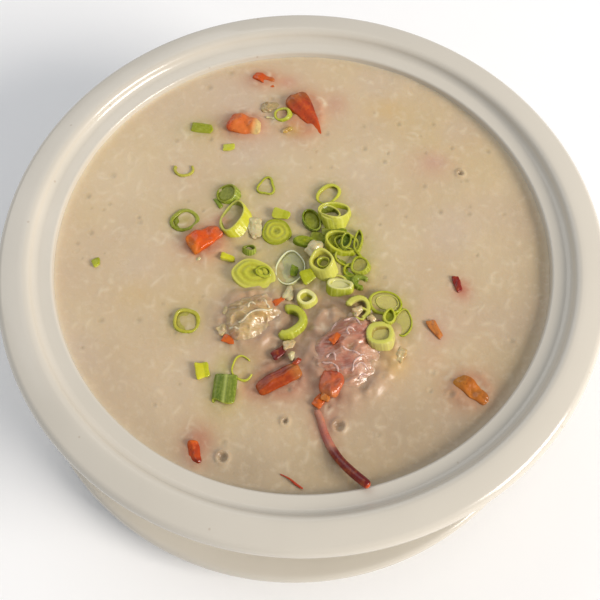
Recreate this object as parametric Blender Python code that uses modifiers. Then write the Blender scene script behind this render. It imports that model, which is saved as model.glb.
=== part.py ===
"""Seafood congee in a white porcelain tureen bowl, standing on its round underplate.

The bowl, the underplate and the congee are turned about upright axes. The congee is one solid up to its
level, with a pocket round each topping that sits in it. The toppings are lobster flesh and broken shell,
and cut rings, tubes and curls of scallion. Lengths are in metres, and places of toppings in millimetres.
"""

import math

import bmesh
import bpy
import numpy as np

MM = 0.001
GAP = 0.3 * MM  # clearance between pieces that touch
POCKET_CLEARANCE = 0.55 * MM  # along a cutter's corner normals, so a flat side keeps about GAP
TURN_STEPS = 40
BODY_STEPS = 7  # along the inside of the bowl, and along the congee that lies in it

# Bowl: the circles that give its form, heights above the table
BOWL_AXIS_X = 1.55 * MM
RIM_RADIUS = 115 * MM
RIM_WIDEST_Z = 75.9 * MM
RIM_TOP_Z = 80.7 * MM
RIM_CROWN_RADIUS = 106 * MM  # from here the top falls as a quarter ellipse to the widest circle
RIM_UNDER_ROUND = 3.0 * MM
RIM_INNER_RADIUS = 102.2 * MM
LEDGE_OUTER_RADIUS = 98.8 * MM
LEDGE_Z = 76.9 * MM
OPENING_RADIUS = 94.4 * MM
LEDGE_ROUND = 0.7 * MM
BOWL_WALL = 5.3 * MM
BOWL_FLOOR_Z = 15.8 * MM
BOWL_UNDERSIDE_Z = 11.0 * MM
BOWL_FULLNESS = 2.6  # exponent of the body's superellipse
FOOT_OUTER_RADIUS = 53 * MM
FOOT_INNER_RADIUS = 47 * MM
FOOT_TAPER = 0.8 * MM

# Underplate
PLATE_AXIS_X = -1.55 * MM
PLATE_RADIUS = 115 * MM
PLATE_WIDEST_Z = 14.2 * MM
PLATE_EDGE_ROUND = 2.4 * MM
PLATE_WELL_Z = 7.0 * MM
PLATE_WELL_RADIUS = 60 * MM
PLATE_SHOULDER_RADIUS = 86 * MM
PLATE_SHOULDER_Z = 13.4 * MM
PLATE_THICKNESS = 4.6 * MM
PLATE_FOOT_OUTER_RADIUS = 66 * MM
PLATE_FOOT_INNER_RADIUS = 61 * MM
PLATE_RECESS_Z = 2.2 * MM

# Congee
CONGEE_LEVEL_Z = 73.1 * MM
HEAP_BACK = 0.6 * MM  # added to the place of every topping

BOWL_FOOT_Z = PLATE_WELL_Z + GAP

# Scallion pieces: place is (right, back, height of the middle over the congee), across is the outer width
# and depth before tilting, tall the length along the stem, turn and tilt are degrees, all lengths in mm.
# corners squares or points the outline, waist pinches it, and mouth is the part left open in degrees.
SCALLIONS = {
    "tube_back": dict(place=(-29.1, 23.4, 0.4), across=(8.6, 7.6), wall=0.9, tall=4, turn=25, tilt=(-8, -14)),
    "ring_three_cornered": dict(
        place=(-14.6, 27.9, 0.1), across=(7.4, 6.4), wall=0.8, tall=1.8, turn=80, corners=(3, 0.14)
    ),
    "ring_long": dict(place=(-25.9, 11.6, 0.6), across=(9.6, 15.8), wall=1.3, tall=4, turn=-22, tilt=(0, -16)),
    "slice_layered": dict(place=(-9.8, 6.7, 0.2), across=(10.8, 10.4), tall=2.6, turn=10, tilt=(3, 0)),
    "tube_small": dict(place=(-20.3, -2.0, 0.3), across=(4.8, 4.0), wall=0.9, tall=3.6, turn=0, tilt=(-22, 0)),
    "slice_large": dict(place=(-17.8, -12.9, 0.4), across=(16.2, 11.6), wall=3.6, tall=4.4, turn=-12, tilt=(8, 6)),
    "ring_clear": dict(place=(-4.4, -8.6, 0.2), across=(10.4, 13.6), wall=0.8, tall=2.2, turn=-12, tilt=(0, -5)),
    "ring_slender": dict(place=(10.4, 24.4, 0.2), across=(10.2, 7.4), wall=1.0, tall=2.4, turn=38, tilt=(6, -6)),
    "tube_thick": dict(place=(12.8, 13.4, 1.2), across=(12.2, 9.4), wall=1.5, tall=6.2, turn=20, tilt=(-16, 14)),
    "leaf_wedge": dict(place=(1.5, 2.2, 0.5), across=(9.4, 4.4), tall=2.6, turn=-12, tilt=(0, 6)),
    "ring_wide": dict(place=(15.4, 1.2, 0.8), across=(12.2, 9.4), wall=1.5, tall=4, turn=-24, tilt=(-6, 10)),
    "tube_pale": dict(place=(8.4, -9.4, 1.9), across=(9.4, 10.0), wall=2.4, tall=7.4, turn=0, tilt=(10, -8)),
    "ring_thick": dict(place=(22.4, -8.1, 0.8), across=(7.0, 6.8), wall=1.3, tall=3.4, turn=15, tilt=(0, -10)),
    "curl_dark": dict(
        place=(22.0, -14.8, 0.4), across=(6.4, 5.4), wall=1.1, tall=3.2, turn=-25, tilt=(-8, 4), mouth=110
    ),
    "ring_cut": dict(place=(14.2, -17.8, 0.6), across=(9.2, 7.2), wall=1.7, tall=4.4, turn=-12, tilt=(-14, 0)),
    "bulb_pale": dict(place=(2.3, -23.0, 0.8), across=(6.8, 6.4), wall=2.2, tall=5.2, turn=20, tilt=(14, 6)),
    "curl_wavy": dict(
        place=(-4.0, -31.8, 1.6), across=(11.0, 12.0), wall=2.6, tall=4.0, turn=172, tilt=(4, 8), mouth=130
    ),
    "curl_on_meat": dict(
        place=(20.8, -26.4, 3.2), across=(8.6, 8.4), wall=1.8, tall=3.0, turn=-135, tilt=(-6, 6), mouth=120
    ),
    "ring_green_edge": dict(place=(30.8, -23.6, 1.0), across=(11.4, 8.8), wall=2.2, tall=3.2, turn=-8, tilt=(0, 6)),
    "ring_film": dict(place=(37.2, -31.0, 0.3), across=(6.6, 10.2), wall=0.8, tall=2.2, turn=-8),
    "ring_folded": dict(place=(28.8, -37.6, 3.0), across=(9.6, 9.0), wall=2.4, tall=4.0, turn=30, tilt=(-8, 10)),
    "ring_sunk": dict(place=(-42.4, -31.0, -0.2), across=(8.6, 8.8), wall=1.3, tall=2.6, turn=0, tilt=(0, 6)),
    "ring_by_claw": dict(place=(-8.3, 62.6, 0.5), across=(7.0, 6.2), wall=1.3, tall=2.8, turn=30, tilt=(-6, -8)),
    "tube_lying_back": dict(
        place=(-41.8, 56.0, 0.2), across=(4.8, 3.0), wall=0.8, tall=9.2, turn=82, tilt=(90, 0), waist=0.3
    ),
    "tube_lying_front": dict(
        place=(-27.0, -57.6, 0.5), across=(8.6, 4.6), wall=1.0, tall=11.6, turn=-4, tilt=(90, 0), waist=0.35
    ),
}

# Lobster pieces: place as above, size is length, width and height, square is how boxy the form is from 0
# to 1, taper is the far end's width as a part of the near end's, and swell is the depth of its uneven lumps.
LOBSTER = {
    "claw_shell": dict(
        place=(1.2, 63.6, 0.9), size=(23, 14, 6.4), turn=-58, tilt=(0, 4), square=0.25, taper=0.14, swell=0.03
    ),
    "knuckle_shell": dict(
        place=(-24.6, 57.4, 0.8), size=(14.4, 10.4, 7.6), turn=-14, tilt=(0, 0), square=0.1, taper=0.8, swell=0.1
    ),
    "shell_back": dict(
        place=(-17.2, 82.0, 0.2), size=(10.0, 5.0, 4.0), turn=-24, tilt=(0, 0), square=0.2, taper=0.8, swell=0.06
    ),
    "shell_chunk": dict(
        place=(-37.9, 3.0, 0.9), size=(14.6, 9.6, 7.4), turn=36, tilt=(0, 4), square=0.45, taper=0.72, swell=0.05
    ),
    "shell_stick": dict(
        place=(-7.8, -53.6, 1.2), size=(17.4, 6.0, 4.6), turn=29, tilt=(0, -3), square=0.6, taper=0.92, swell=0.02
    ),
    "shell_centre": dict(
        place=(10.6, -55.4, 1.7), size=(11.0, 7.4, 5.0), turn=76, tilt=(0, 0), square=0.2, taper=1.3, swell=0.06
    ),
    "shell_right": dict(
        place=(60.4, -56.6, 0.3), size=(14.0, 6.4, 4.8), turn=-42, tilt=(0, 0), square=0.3, taper=0.9, swell=0.06
    ),
    "shell_front_left": dict(
        place=(-36.2, -80.4, 0.1), size=(8.8, 4.8, 4.2), turn=-78, tilt=(0, 0), square=0.3, taper=0.9, swell=0.05
    ),
    "meat_left": dict(
        place=(-17.6, -29.0, 0.2), size=(23, 18, 11), turn=28, tilt=(0, 0), square=0.1, taper=0.9, swell=0.09
    ),
    "meat_centre": dict(
        place=(18.6, -40.6, -0.4), size=(36, 26, 12.4), turn=58, tilt=(0, 0), square=0.05, taper=1.0, swell=0.08
    ),
}

# Walking leg: points along its middle as (right, back, height over the congee, radius) in mm
LEG_ROUTE = (
    (5.4, -64.6, 0.7, 1.2),
    (6.8, -67.6, 0.1, 1.35),
    (8.4, -73.0, -0.2, 1.5),
    (10.8, -78.4, 0.5, 1.6),
    (14.0, -83.6, 2.4, 1.6),
    (18.0, -88.1, 4.4, 1.65),
    (21.4, -91.3, 5.6, 1.65),
    (23.0, -93.0, 6.0, 1.6),
)

ON_MEAT = ("curl_on_meat", "ring_folded", "ring_green_edge", "ring_film", "curl_wavy", "shell_centre", "ring_cut")


def linear(hex_colour):
    """Turns an sRGB hex colour into linear red, green, blue and alpha."""
    parts = [int(hex_colour[i : i + 2], 16) / 255 for i in (0, 2, 4)]
    return [p / 12.92 if p <= 0.04045 else ((p + 0.055) / 1.055) ** 2.4 for p in parts] + [1.0]


def finish(name, hex_colour, roughness):
    """A non-metallic Principled material."""
    material = bpy.data.materials.new(name)
    material.use_nodes = True
    shader = material.node_tree.nodes["Principled BSDF"]
    shader.inputs["Base Color"].default_value = linear(hex_colour)
    shader.inputs["Roughness"].default_value = roughness
    shader.inputs["Metallic"].default_value = 0.0
    return material


def new_object(name, mesh, collection, material=None):
    """An object of this mesh in the collection, with its material."""
    thing = bpy.data.objects.new(name, mesh)
    collection.objects.link(thing)
    if material:
        mesh.materials.append(material)
    return thing


def arc(centre, radius, start, end, steps):
    """Points (r, z) on a circle from one angle to another, in degrees, both ends included."""
    angles = np.radians(np.linspace(start, end, steps + 1))
    return [(centre[0] + radius * math.cos(a), centre[1] + radius * math.sin(a)) for a in angles]


def body_curve(radius, depth, from_radius, to_radius, steps):
    """Points (r, z) of the bowl's body: a superellipse hanging from the ledge's height.

    r = radius sin(t)^(2/n) and z = ledge - depth cos(t)^(2/n), for even steps of t between the two radii.
    """
    power = 2 / BOWL_FULLNESS
    ends = [math.asin(min(1.0, (r / radius) ** (1 / power))) for r in (from_radius, to_radius)]
    angles = np.linspace(*ends, steps + 1)
    return [
        (radius * math.sin(t) ** power, LEDGE_Z - depth * max(0.0, math.cos(t)) ** power) for t in angles
    ]


def rise(start, end, steps):
    """Points (r, z) of an S-shaped slope between two points, level at both."""
    parts = np.linspace(0, 1, steps + 1)
    return [
        (start[0] + (end[0] - start[0]) * s, start[1] + (end[1] - start[1]) * s * s * (3 - 2 * s))
        for s in parts
    ]


def bowl_profile():
    """From the middle of the floor up the inside, over the stepped rim, down the body and under the foot."""
    inside = body_curve(OPENING_RADIUS, LEDGE_Z - BOWL_FLOOR_Z, 0.0, OPENING_RADIUS, BODY_STEPS)[:-1]
    lip = arc((OPENING_RADIUS + LEDGE_ROUND, LEDGE_Z - LEDGE_ROUND), LEDGE_ROUND, 180, 90, 1)
    step_height = RIM_TOP_Z - LEDGE_Z
    step_width = RIM_INNER_RADIUS - LEDGE_OUTER_RADIUS
    cove = [
        (LEDGE_OUTER_RADIUS + step_width * math.sin(a), RIM_TOP_Z - step_height * math.cos(a))
        for a in np.radians([0, 30, 60, 82])
    ]
    inner_edge = [(RIM_INNER_RADIUS + 0.7 * MM, RIM_TOP_Z)]
    outer_edge = [
        (
            RIM_CROWN_RADIUS + (RIM_RADIUS - RIM_CROWN_RADIUS) * math.sin(a),
            RIM_WIDEST_Z + (RIM_TOP_Z - RIM_WIDEST_Z) * math.cos(a),
        )
        for a in np.radians([0, 24, 46, 68, 90])
    ]
    outer_edge += arc((RIM_RADIUS - RIM_UNDER_ROUND, RIM_WIDEST_Z), RIM_UNDER_ROUND, 0, -90, 3)[1:]
    body_radius = OPENING_RADIUS + BOWL_WALL
    body_depth = LEDGE_Z - BOWL_UNDERSIDE_Z
    under_rim = [(body_radius + 2.6 * MM, RIM_WIDEST_Z - RIM_UNDER_ROUND - 0.4 * MM)]
    body = body_curve(body_radius, body_depth, body_radius * 0.9995, FOOT_OUTER_RADIUS, 6)
    foot = [
        (FOOT_OUTER_RADIUS - FOOT_TAPER, BOWL_FOOT_Z),
        (FOOT_INNER_RADIUS + FOOT_TAPER, BOWL_FOOT_Z),
        (FOOT_INNER_RADIUS, BOWL_UNDERSIDE_Z),
        (0.0, BOWL_UNDERSIDE_Z),
    ]
    return inside + lip + cove + inner_edge + outer_edge + under_rim + body + foot


def plate_profile():
    """From the middle of the well out over the rim, round the edge, and back under to the middle."""
    well = [(0.0, PLATE_WELL_Z)]
    slope = rise((PLATE_WELL_RADIUS, PLATE_WELL_Z), (PLATE_SHOULDER_RADIUS, PLATE_SHOULDER_Z), 4)
    edge = arc((PLATE_RADIUS - PLATE_EDGE_ROUND, PLATE_WIDEST_Z), PLATE_EDGE_ROUND, 90, -90, 4)
    underside = rise(
        (PLATE_SHOULDER_RADIUS, PLATE_SHOULDER_Z - PLATE_THICKNESS),
        (PLATE_FOOT_OUTER_RADIUS + 1 * MM, PLATE_RECESS_Z + 0.6 * MM),
        2,
    )
    foot = [
        (PLATE_FOOT_OUTER_RADIUS, 0.0),
        (PLATE_FOOT_INNER_RADIUS, 0.0),
        (PLATE_FOOT_INNER_RADIUS - 1 * MM, PLATE_RECESS_Z),
        (0.0, PLATE_RECESS_Z),
    ]
    return well + slope + edge + underside + foot


def congee_profile():
    """From the middle of the surface out to the wall, and down the inside of the bowl, GAP clear of it."""
    radius = OPENING_RADIUS - GAP
    inside = body_curve(radius, LEDGE_Z - BOWL_FLOOR_Z - GAP, 0.0, radius, BODY_STEPS)[:-1]
    surface = radius - 0.4 * MM  # the wall leans in a little on the way down from the ledge
    return [(0.0, CONGEE_LEVEL_Z), (surface, CONGEE_LEVEL_Z)] + inside[::-1]


def turned(name, profile, axis_x, collection, material):
    """A turned piece: the profile (r, z), running down its outer side, with a Screw about an upright axis."""
    mesh = bpy.data.meshes.new(name)
    edges = [(i, i + 1) for i in range(len(profile) - 1)]
    mesh.from_pydata([(r, 0.0, z) for r, z in profile], edges, [])
    thing = new_object(name, mesh, collection, material)
    thing.location.x = axis_x
    screw = thing.modifiers.new("turn", "SCREW")
    screw.axis = "Z"
    screw.steps = TURN_STEPS
    screw.render_steps = TURN_STEPS
    screw.use_merge_vertices = True
    screw.merge_threshold = 0.01 * MM
    return thing


def set_place(thing, place, turn, tilt):
    """Puts a piece at its place over the congee, tilted about its own X and Y, then turned about Z."""
    right, back, height = place
    thing.location = (BOWL_AXIS_X + right * MM, HEAP_BACK + back * MM, CONGEE_LEVEL_Z + height * MM)
    thing.rotation_euler = [math.radians(a) for a in (*tilt, turn)]


def scallion(name, place, across, tall, turn, collection, material, wall=None, tilt=(0, 0), **outline):
    """A cut of scallion: an oval tube with an inward wall, or a solid slice where no wall is given.

    The outline is x = a cos(t), y = b sin(t) (1 - waist sin(t)^2), times 1 + depth cos(n t) for n corners.
    """
    corners, depth = outline.get("corners", (2, 0.0))
    waist = outline.get("waist", 0.0)
    mouth = math.radians(outline.get("mouth", 0))
    shape = bmesh.new()
    bmesh.ops.create_cone(
        shape, cap_ends=wall is None, segments=12, radius1=1.0, radius2=1.0, depth=tall * MM
    )
    if mouth:
        open_faces = [f for f in shape.faces if abs(math.atan2(*f.calc_center_median().yx)) < mouth / 2]
        bmesh.ops.delete(shape, geom=open_faces, context="FACES")
    for vertex in shape.verts:
        angle = math.atan2(vertex.co.y, vertex.co.x)
        scale = MM * (1 + depth * math.cos(corners * angle)) / 2
        vertex.co.x = across[0] * scale * math.cos(angle)
        vertex.co.y = across[1] * scale * math.sin(angle) * (1 - waist * math.sin(angle) ** 2)
    mesh = bpy.data.meshes.new(name)
    shape.to_mesh(mesh)
    shape.free()
    thing = new_object(name, mesh, collection, material)
    set_place(thing, place, turn, tilt)
    if wall:
        skin = thing.modifiers.new("wall", "SOLIDIFY")
        skin.thickness = wall * MM
        skin.offset = -1
    return thing


def lobster(name, place, size, turn, tilt, square, taper, swell, collection, material):
    """A lump of shell or flesh: a ball made boxy, stretched to size, tapered along X and swollen unevenly.

    Each coordinate c becomes sign(c) |c|^(1 - square), and the surface moves by swell times a product of waves.
    """
    shape = bmesh.new()
    bmesh.ops.create_uvsphere(shape, u_segments=12, v_segments=7, radius=1.0)
    for vertex in shape.verts:
        co = np.array(vertex.co)
        wave = math.sin(3.1 * co[0] + 1.0) * math.cos(3.7 * co[1] - 0.6) + math.sin(4.3 * co[2] + co[0])
        co = np.sign(co) * np.abs(co) ** (1 - square) * (1 + swell * wave)
        co[1:] *= 1 + (taper - 1) * (co[0] + 1) / 2
        vertex.co = co * np.array(size) / 2 * MM
    mesh = bpy.data.meshes.new(name)
    shape.to_mesh(mesh)
    shape.free()
    mesh.shade_smooth()
    thing = new_object(name, mesh, collection, material)
    set_place(thing, place, turn, tilt)
    return thing


def walking_leg(collection, material):
    """The thin leg: a tube along its route, made a mesh so that a pocket can be cut for it."""
    curve = bpy.data.curves.new("leg", "CURVE")
    curve.dimensions = "3D"
    curve.bevel_depth = 1 * MM
    curve.bevel_resolution = 2
    curve.use_fill_caps = True
    spline = curve.splines.new("POLY")
    spline.points.add(len(LEG_ROUTE) - 1)
    for point, (right, back, height, radius) in zip(spline.points, LEG_ROUTE):
        point.co = (BOWL_AXIS_X + right * MM, HEAP_BACK + back * MM, CONGEE_LEVEL_Z + height * MM, 1.0)
        point.radius = radius
    guide = new_object("leg_guide", curve, collection)
    bpy.context.view_layer.update()
    graph = bpy.context.evaluated_depsgraph_get()
    mesh = bpy.data.meshes.new_from_object(guide.evaluated_get(graph))
    bpy.data.objects.remove(guide)
    shape = bmesh.new()
    shape.from_mesh(mesh)
    bmesh.ops.remove_doubles(shape, verts=shape.verts, dist=0.01 * MM)
    bmesh.ops.recalc_face_normals(shape, faces=shape.faces)
    shape.to_mesh(mesh)
    shape.free()
    mesh.shade_smooth()
    return new_object("leg", mesh, collection, material)


def pocket_cutter(piece, collections):
    """A copy of a topping, grown a little on every side, that cuts the pocket it sits in."""
    cutter = piece.copy()
    cutter.name = piece.name + "_pocket"
    grow = cutter.modifiers.new("clearance", "DISPLACE")
    grow.strength = POCKET_CLEARANCE
    grow.mid_level = 0.0
    cutter.hide_render = True
    cutter.display_type = "WIRE"
    for collection in collections:
        collection.objects.link(cutter)


def cut_pockets(body, pockets):
    """Cuts every pocket of a collection from a body."""
    cut = body.modifiers.new("pockets", "BOOLEAN")
    cut.operation = "DIFFERENCE"
    cut.solver = "EXACT"
    cut.operand_type = "COLLECTION"
    cut.collection = pockets


for left_over in list(bpy.data.objects):
    bpy.data.objects.remove(left_over)

parts = bpy.data.collections.new("congee_bowl")
cutters = bpy.data.collections.new("cutters")
congee_pockets = bpy.data.collections.new("pockets_in_congee")
meat_pockets = bpy.data.collections.new("pockets_in_meat")
bpy.context.scene.collection.children.link(parts)
bpy.context.scene.collection.children.link(cutters)
cutters.children.link(congee_pockets)
cutters.children.link(meat_pockets)

porcelain = finish("glazed porcelain", "E6E0D2", 0.16)
rice_broth = finish("rice congee", "C8B08C", 0.24)
shell = finish("cooked lobster shell", "C8481C", 0.3)
flesh = finish("cooked lobster flesh", "C08C78", 0.32)
stem = finish("scallion", "A8B83C", 0.35)

turned("bowl", bowl_profile(), BOWL_AXIS_X, parts, porcelain)
turned("underplate", plate_profile(), PLATE_AXIS_X, parts, porcelain)
congee = turned("congee", congee_profile(), BOWL_AXIS_X, parts, rice_broth)

toppings = [walking_leg(parts, shell)]
for name, row in LOBSTER.items():
    toppings.append(lobster(name, **row, collection=parts, material=flesh if "meat" in name else shell))
for name, row in SCALLIONS.items():
    toppings.append(scallion(name, **row, collection=parts, material=stem))

for topping in toppings:
    pocket_cutter(topping, [congee_pockets] + ([meat_pockets] if topping.name in ON_MEAT else []))
cut_pockets(congee, congee_pockets)
for meat in (parts.objects["meat_left"], parts.objects["meat_centre"]):
    cut_pockets(meat, meat_pockets)
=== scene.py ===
"""Looks of a bowl of seafood congee on its underplate: white glazed porcelain, thick rice congee, pieces of
cooked lobster and cut scallion. Each section makes one piece, or one group of like pieces, in the order in
which they are put together. Lengths are in millimetres, heights are above the table, until a mesh is made."""

import math

import bmesh
import bpy
import numpy as np
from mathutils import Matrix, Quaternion, Vector


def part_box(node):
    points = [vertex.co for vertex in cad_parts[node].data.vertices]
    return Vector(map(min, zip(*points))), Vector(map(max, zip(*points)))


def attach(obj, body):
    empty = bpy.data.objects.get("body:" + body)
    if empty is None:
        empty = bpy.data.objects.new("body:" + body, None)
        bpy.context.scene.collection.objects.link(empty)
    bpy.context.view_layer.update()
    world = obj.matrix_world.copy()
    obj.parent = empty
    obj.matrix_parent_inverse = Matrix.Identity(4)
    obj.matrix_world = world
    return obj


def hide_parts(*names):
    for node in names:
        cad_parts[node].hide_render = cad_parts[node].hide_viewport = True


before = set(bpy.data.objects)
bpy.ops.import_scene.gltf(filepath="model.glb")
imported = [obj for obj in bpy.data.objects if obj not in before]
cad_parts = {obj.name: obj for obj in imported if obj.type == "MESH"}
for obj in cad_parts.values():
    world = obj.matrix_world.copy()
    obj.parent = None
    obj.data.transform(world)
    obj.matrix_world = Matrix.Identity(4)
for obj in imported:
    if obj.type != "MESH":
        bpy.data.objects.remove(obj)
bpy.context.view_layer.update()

# ---------------------------------------------------------------------------------------------------------
# Underplate: a round dish that stands under the bowl and catches spills. White porcelain, pressed between
# turned moulds and glazed all over, with a low foot ring below and a shallow well above.
# ---------------------------------------------------------------------------------------------------------
PLATE_AXIS = -1.55
PLATE_RADIUS, PLATE_WIDEST, PLATE_EDGE_ROUND = 115.0, 14.2, 2.4
PLATE_WELL, PLATE_WELL_RADIUS = 7.0, 60.0
PLATE_SHOULDER, PLATE_SHOULDER_RADIUS = 13.4, 86.0
PLATE_THICKNESS = 4.6
PLATE_FOOT_OUTER, PLATE_FOOT_INNER, PLATE_RECESS = 66.0, 61.0, 2.2
AROUND = 240  # lines round a turned piece, 3 mm apart at the rim


def linear(colour):
    """An sRGB hex colour as linear RGBA: a channel c becomes ((c + 0.055) / 1.055) to the power 2.4, or
    c / 12.92 where it is below 0.04045."""
    c = np.array([int(colour[i : i + 2], 16) for i in (0, 2, 4)]) / 255
    c = np.where(c > 0.04045, ((c + 0.055) / 1.055) ** 2.4, c / 12.92)
    return (*c.tolist(), 1.0)


def add(tree, kind, settings, links):
    """One node of a material. A key names a setting, or is a socket's name or number."""
    made = tree.nodes.new("ShaderNode" + kind)
    for key, value in settings.items():
        if isinstance(key, str) and hasattr(made, key):
            setattr(made, key, value)
        else:
            made.inputs[key].default_value = value
    for key, source in links.items():
        tree.links.new(source, made.inputs[key])
    return made


def new_material(name, settings):
    """An empty material: its node tree and its shader, whose plain sockets are set."""
    material = bpy.data.materials.new(name)
    material.use_nodes = True
    shader = material.node_tree.nodes["Principled BSDF"]
    for key, value in settings.items():
        shader.inputs[key].default_value = value
    return material, material.node_tree, shader


def pattern(tree, place, grain, detail, **settings):
    """Soft noise whose grain is so many millimetres across."""
    settings = {"Scale": 1000 / grain, "Detail": detail, **settings}
    return add(tree, "TexNoise", settings, {"Vector": place}).outputs["Fac"]


def ramp(tree, value, start, end, low, high):
    """A value that goes evenly from low to high as another goes from start to end."""
    settings = {"From Min": start, "From Max": end, "To Min": low, "To Max": high}
    return add(tree, "MapRange", settings, {"Value": value}).outputs[0]


def laid_over(tree, under, colour, weight):
    """A colour laid over another by a weight."""
    return add(tree, "Mix", {"data_type": "RGBA", 7: linear(colour)}, {0: weight, 6: under}).outputs[2]


def relief(tree, height, depth, strength, under=None):
    """A surface raised by a pattern, its depth in millimetres, over another surface where one is given."""
    links = {"Height": height} if under is None else {"Height": height, "Normal": under}
    return add(tree, "Bump", {"Strength": strength, "Distance": depth / 1000}, links).outputs["Normal"]


def dress(tree, shader, colour, roughness, surface):
    """The shader takes its colour, roughness and surface from these."""
    for socket, source in (("Base Color", colour), ("Roughness", roughness), ("Normal", surface)):
        tree.links.new(source, shader.inputs[socket])


def arc(centre, radius, start, end, steps):
    """Points (r, h) of an arc: the centre plus the radius times cosine and sine of even angles in degrees."""
    a = np.radians(np.linspace(start, end, steps))
    return np.stack([centre[0] + radius * np.cos(a), centre[1] + radius * np.sin(a)], 1)


def rise(start, end, steps):
    """Points (r, h) on an S-curve: r goes evenly and h by 3t² - 2t³, so both ends lie level."""
    t = np.linspace(0, 1, steps)
    s = t * t * (3 - 2 * t)
    return np.stack([start[0] + (end[0] - start[0]) * t, start[1] + (end[1] - start[1]) * s], 1)


def grid_quads(rows, columns, ring_rows=False, ring_columns=False):
    """Faces between the points of a grid, numbered row by row. A ring's last line is joined to its first."""
    i = np.arange(rows if ring_rows else rows - 1)[:, None]
    j = np.arange(columns if ring_columns else columns - 1)[None, :]
    below, right = (i + 1) % rows * columns, (j + 1) % columns
    corners = np.broadcast_arrays(i * columns + j, below + j, below + right, i * columns + right)
    return np.stack(corners, -1).reshape(-1, 4)


def turned(profile, axis):
    """A profile of (r, h) turned about an upright axis: x = axis + r cos a, y = r sin a, z = h."""
    a = np.linspace(0, 2 * np.pi, AROUND, endpoint=False)
    r, h = profile[:, :1], profile[:, 1:]
    points = np.stack([axis + r * np.cos(a), r * np.sin(a), h + 0 * a], -1)
    return points.reshape(-1, 3), grid_quads(len(profile), AROUND, ring_columns=True)


def make_piece(name, points, faces, material, tint=None):
    """A closed mesh of points in mm: doubled points at seams and poles are merged, and faces turned outwards.
    tint is a linear colour for each point. The piece rides on the one body."""
    mesh = bpy.data.meshes.new(name)
    sides = faces.tolist() if isinstance(faces, np.ndarray) else faces
    mesh.from_pydata((points * 0.001).tolist(), [], sides)
    if tint is not None:
        layer = mesh.color_attributes.new("tint", "FLOAT_COLOR", "POINT")
        layer.data.foreach_set("color", np.hstack([tint, np.ones((len(tint), 1))]).ravel())
    work = bmesh.new()
    work.from_mesh(mesh)
    bmesh.ops.remove_doubles(work, verts=work.verts, dist=2e-6)
    bmesh.ops.recalc_face_normals(work, faces=work.faces)
    work.to_mesh(mesh)
    work.free()
    mesh.polygons.foreach_set("use_smooth", np.ones(len(mesh.polygons), bool))
    mesh.materials.append(material)
    piece = bpy.data.objects.new(name, mesh)
    bpy.context.scene.collection.objects.link(piece)
    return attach(piece, "root")


# Glazed porcelain: a hard white body under clear glaze, fired glossy. The glaze lies in faint waves some
# 20 mm across and in a finer skin, its colour drifts a little, and a few iron specks show through it.
porcelain, tree, shader = new_material("glazed_porcelain", {"IOR": 1.52, "Specular IOR Level": 0.5})
place = add(tree, "TexCoord", {}, {}).outputs["Object"]
drift = pattern(tree, place, 40, 2.0)
warm = add(tree, "Mix", {"data_type": "RGBA", 6: linear("D0C9BC"), 7: linear("C7C0B2")}, {0: drift})
speck = add(tree, "TexVoronoi", {"Scale": 1000 / 11}, {"Vector": place}).outputs["Distance"]
glaze = laid_over(tree, warm.outputs[2], "9C8468", ramp(tree, speck, 0.03, 0.055, 0.35, 0.0))
gloss = ramp(tree, pattern(tree, place, 14, 3.0), 0, 1, 0.12, 0.22)
waves = relief(tree, pattern(tree, place, 20, 1.0), 0.5, 0.5)
skin = relief(tree, pattern(tree, place, 2.5, 2.0), 0.06, 0.3, waves)
dress(tree, shader, glaze, gloss, skin)

plate_profile = np.concatenate(
    [
        [(0, PLATE_WELL)],
        rise((PLATE_WELL_RADIUS, PLATE_WELL), (PLATE_SHOULDER_RADIUS, PLATE_SHOULDER), 14),
        rise((PLATE_SHOULDER_RADIUS + 4, PLATE_SHOULDER + 0.1), (PLATE_RADIUS - 3.4, PLATE_WIDEST + 2.36), 16),
        arc((PLATE_RADIUS - PLATE_EDGE_ROUND, PLATE_WIDEST), PLATE_EDGE_ROUND, 86, -88, 14),
        rise(
            (PLATE_SHOULDER_RADIUS, PLATE_SHOULDER - PLATE_THICKNESS),
            (PLATE_FOOT_OUTER + 1, PLATE_WELL - PLATE_THICKNESS + 0.4),
            12,
        ),
        arc((PLATE_FOOT_OUTER - 1.2, 1.2), 1.2, 0, -90, 6),
        arc((PLATE_FOOT_INNER + 1.2, 1.2), 1.2, -90, -180, 6),
        [(PLATE_FOOT_INNER - 0.5, PLATE_RECESS), (0, PLATE_RECESS)],
    ]
)
underplate = make_piece("underplate_porcelain", *turned(plate_profile, PLATE_AXIS), porcelain)
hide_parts("underplate")

# ---------------------------------------------------------------------------------------------------------
# Bowl: a deep tureen of the same porcelain, cast and glazed. A broad rolled rim stands over a cove and a
# narrow ledge, on which a lid would rest, and the full round body ends in a foot ring on the underplate.
# ---------------------------------------------------------------------------------------------------------
BOWL_AXIS = 1.55
RIM_RADIUS, RIM_WIDEST, RIM_TOP, RIM_CROWN, RIM_INNER = 115.0, 75.9, 80.7, 105.0, 102.2
RIM_EDGE, RIM_EDGE_DROP, RIM_UNDER_ROUND = 111.4, 1.15, 3.0
LEDGE_OUTER, LEDGE, OPENING_RADIUS, LIP_ROUND = 98.8, 76.9, 94.4, 1.1
BOWL_WALL, BOWL_FLOOR, BOWL_UNDERSIDE = 5.3, 15.8, 11.0
FULLNESS = 2.6
FOOT_OUTER, FOOT_INNER, FOOT_BOTTOM = 53.0, 47.0, 7.3


def body_curve(radius, depth, start, end, steps):
    """Points (r, h) of the bowl's body, a superellipse:
    r = radius sin(t)^(2/n), h = ledge - depth cos(t)^(2/n)."""
    t = np.radians(np.linspace(start, end, steps))
    power = 2 / FULLNESS
    return np.stack([radius * np.sin(t) ** power, LEDGE - depth * np.cos(t) ** power], 1)


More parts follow.
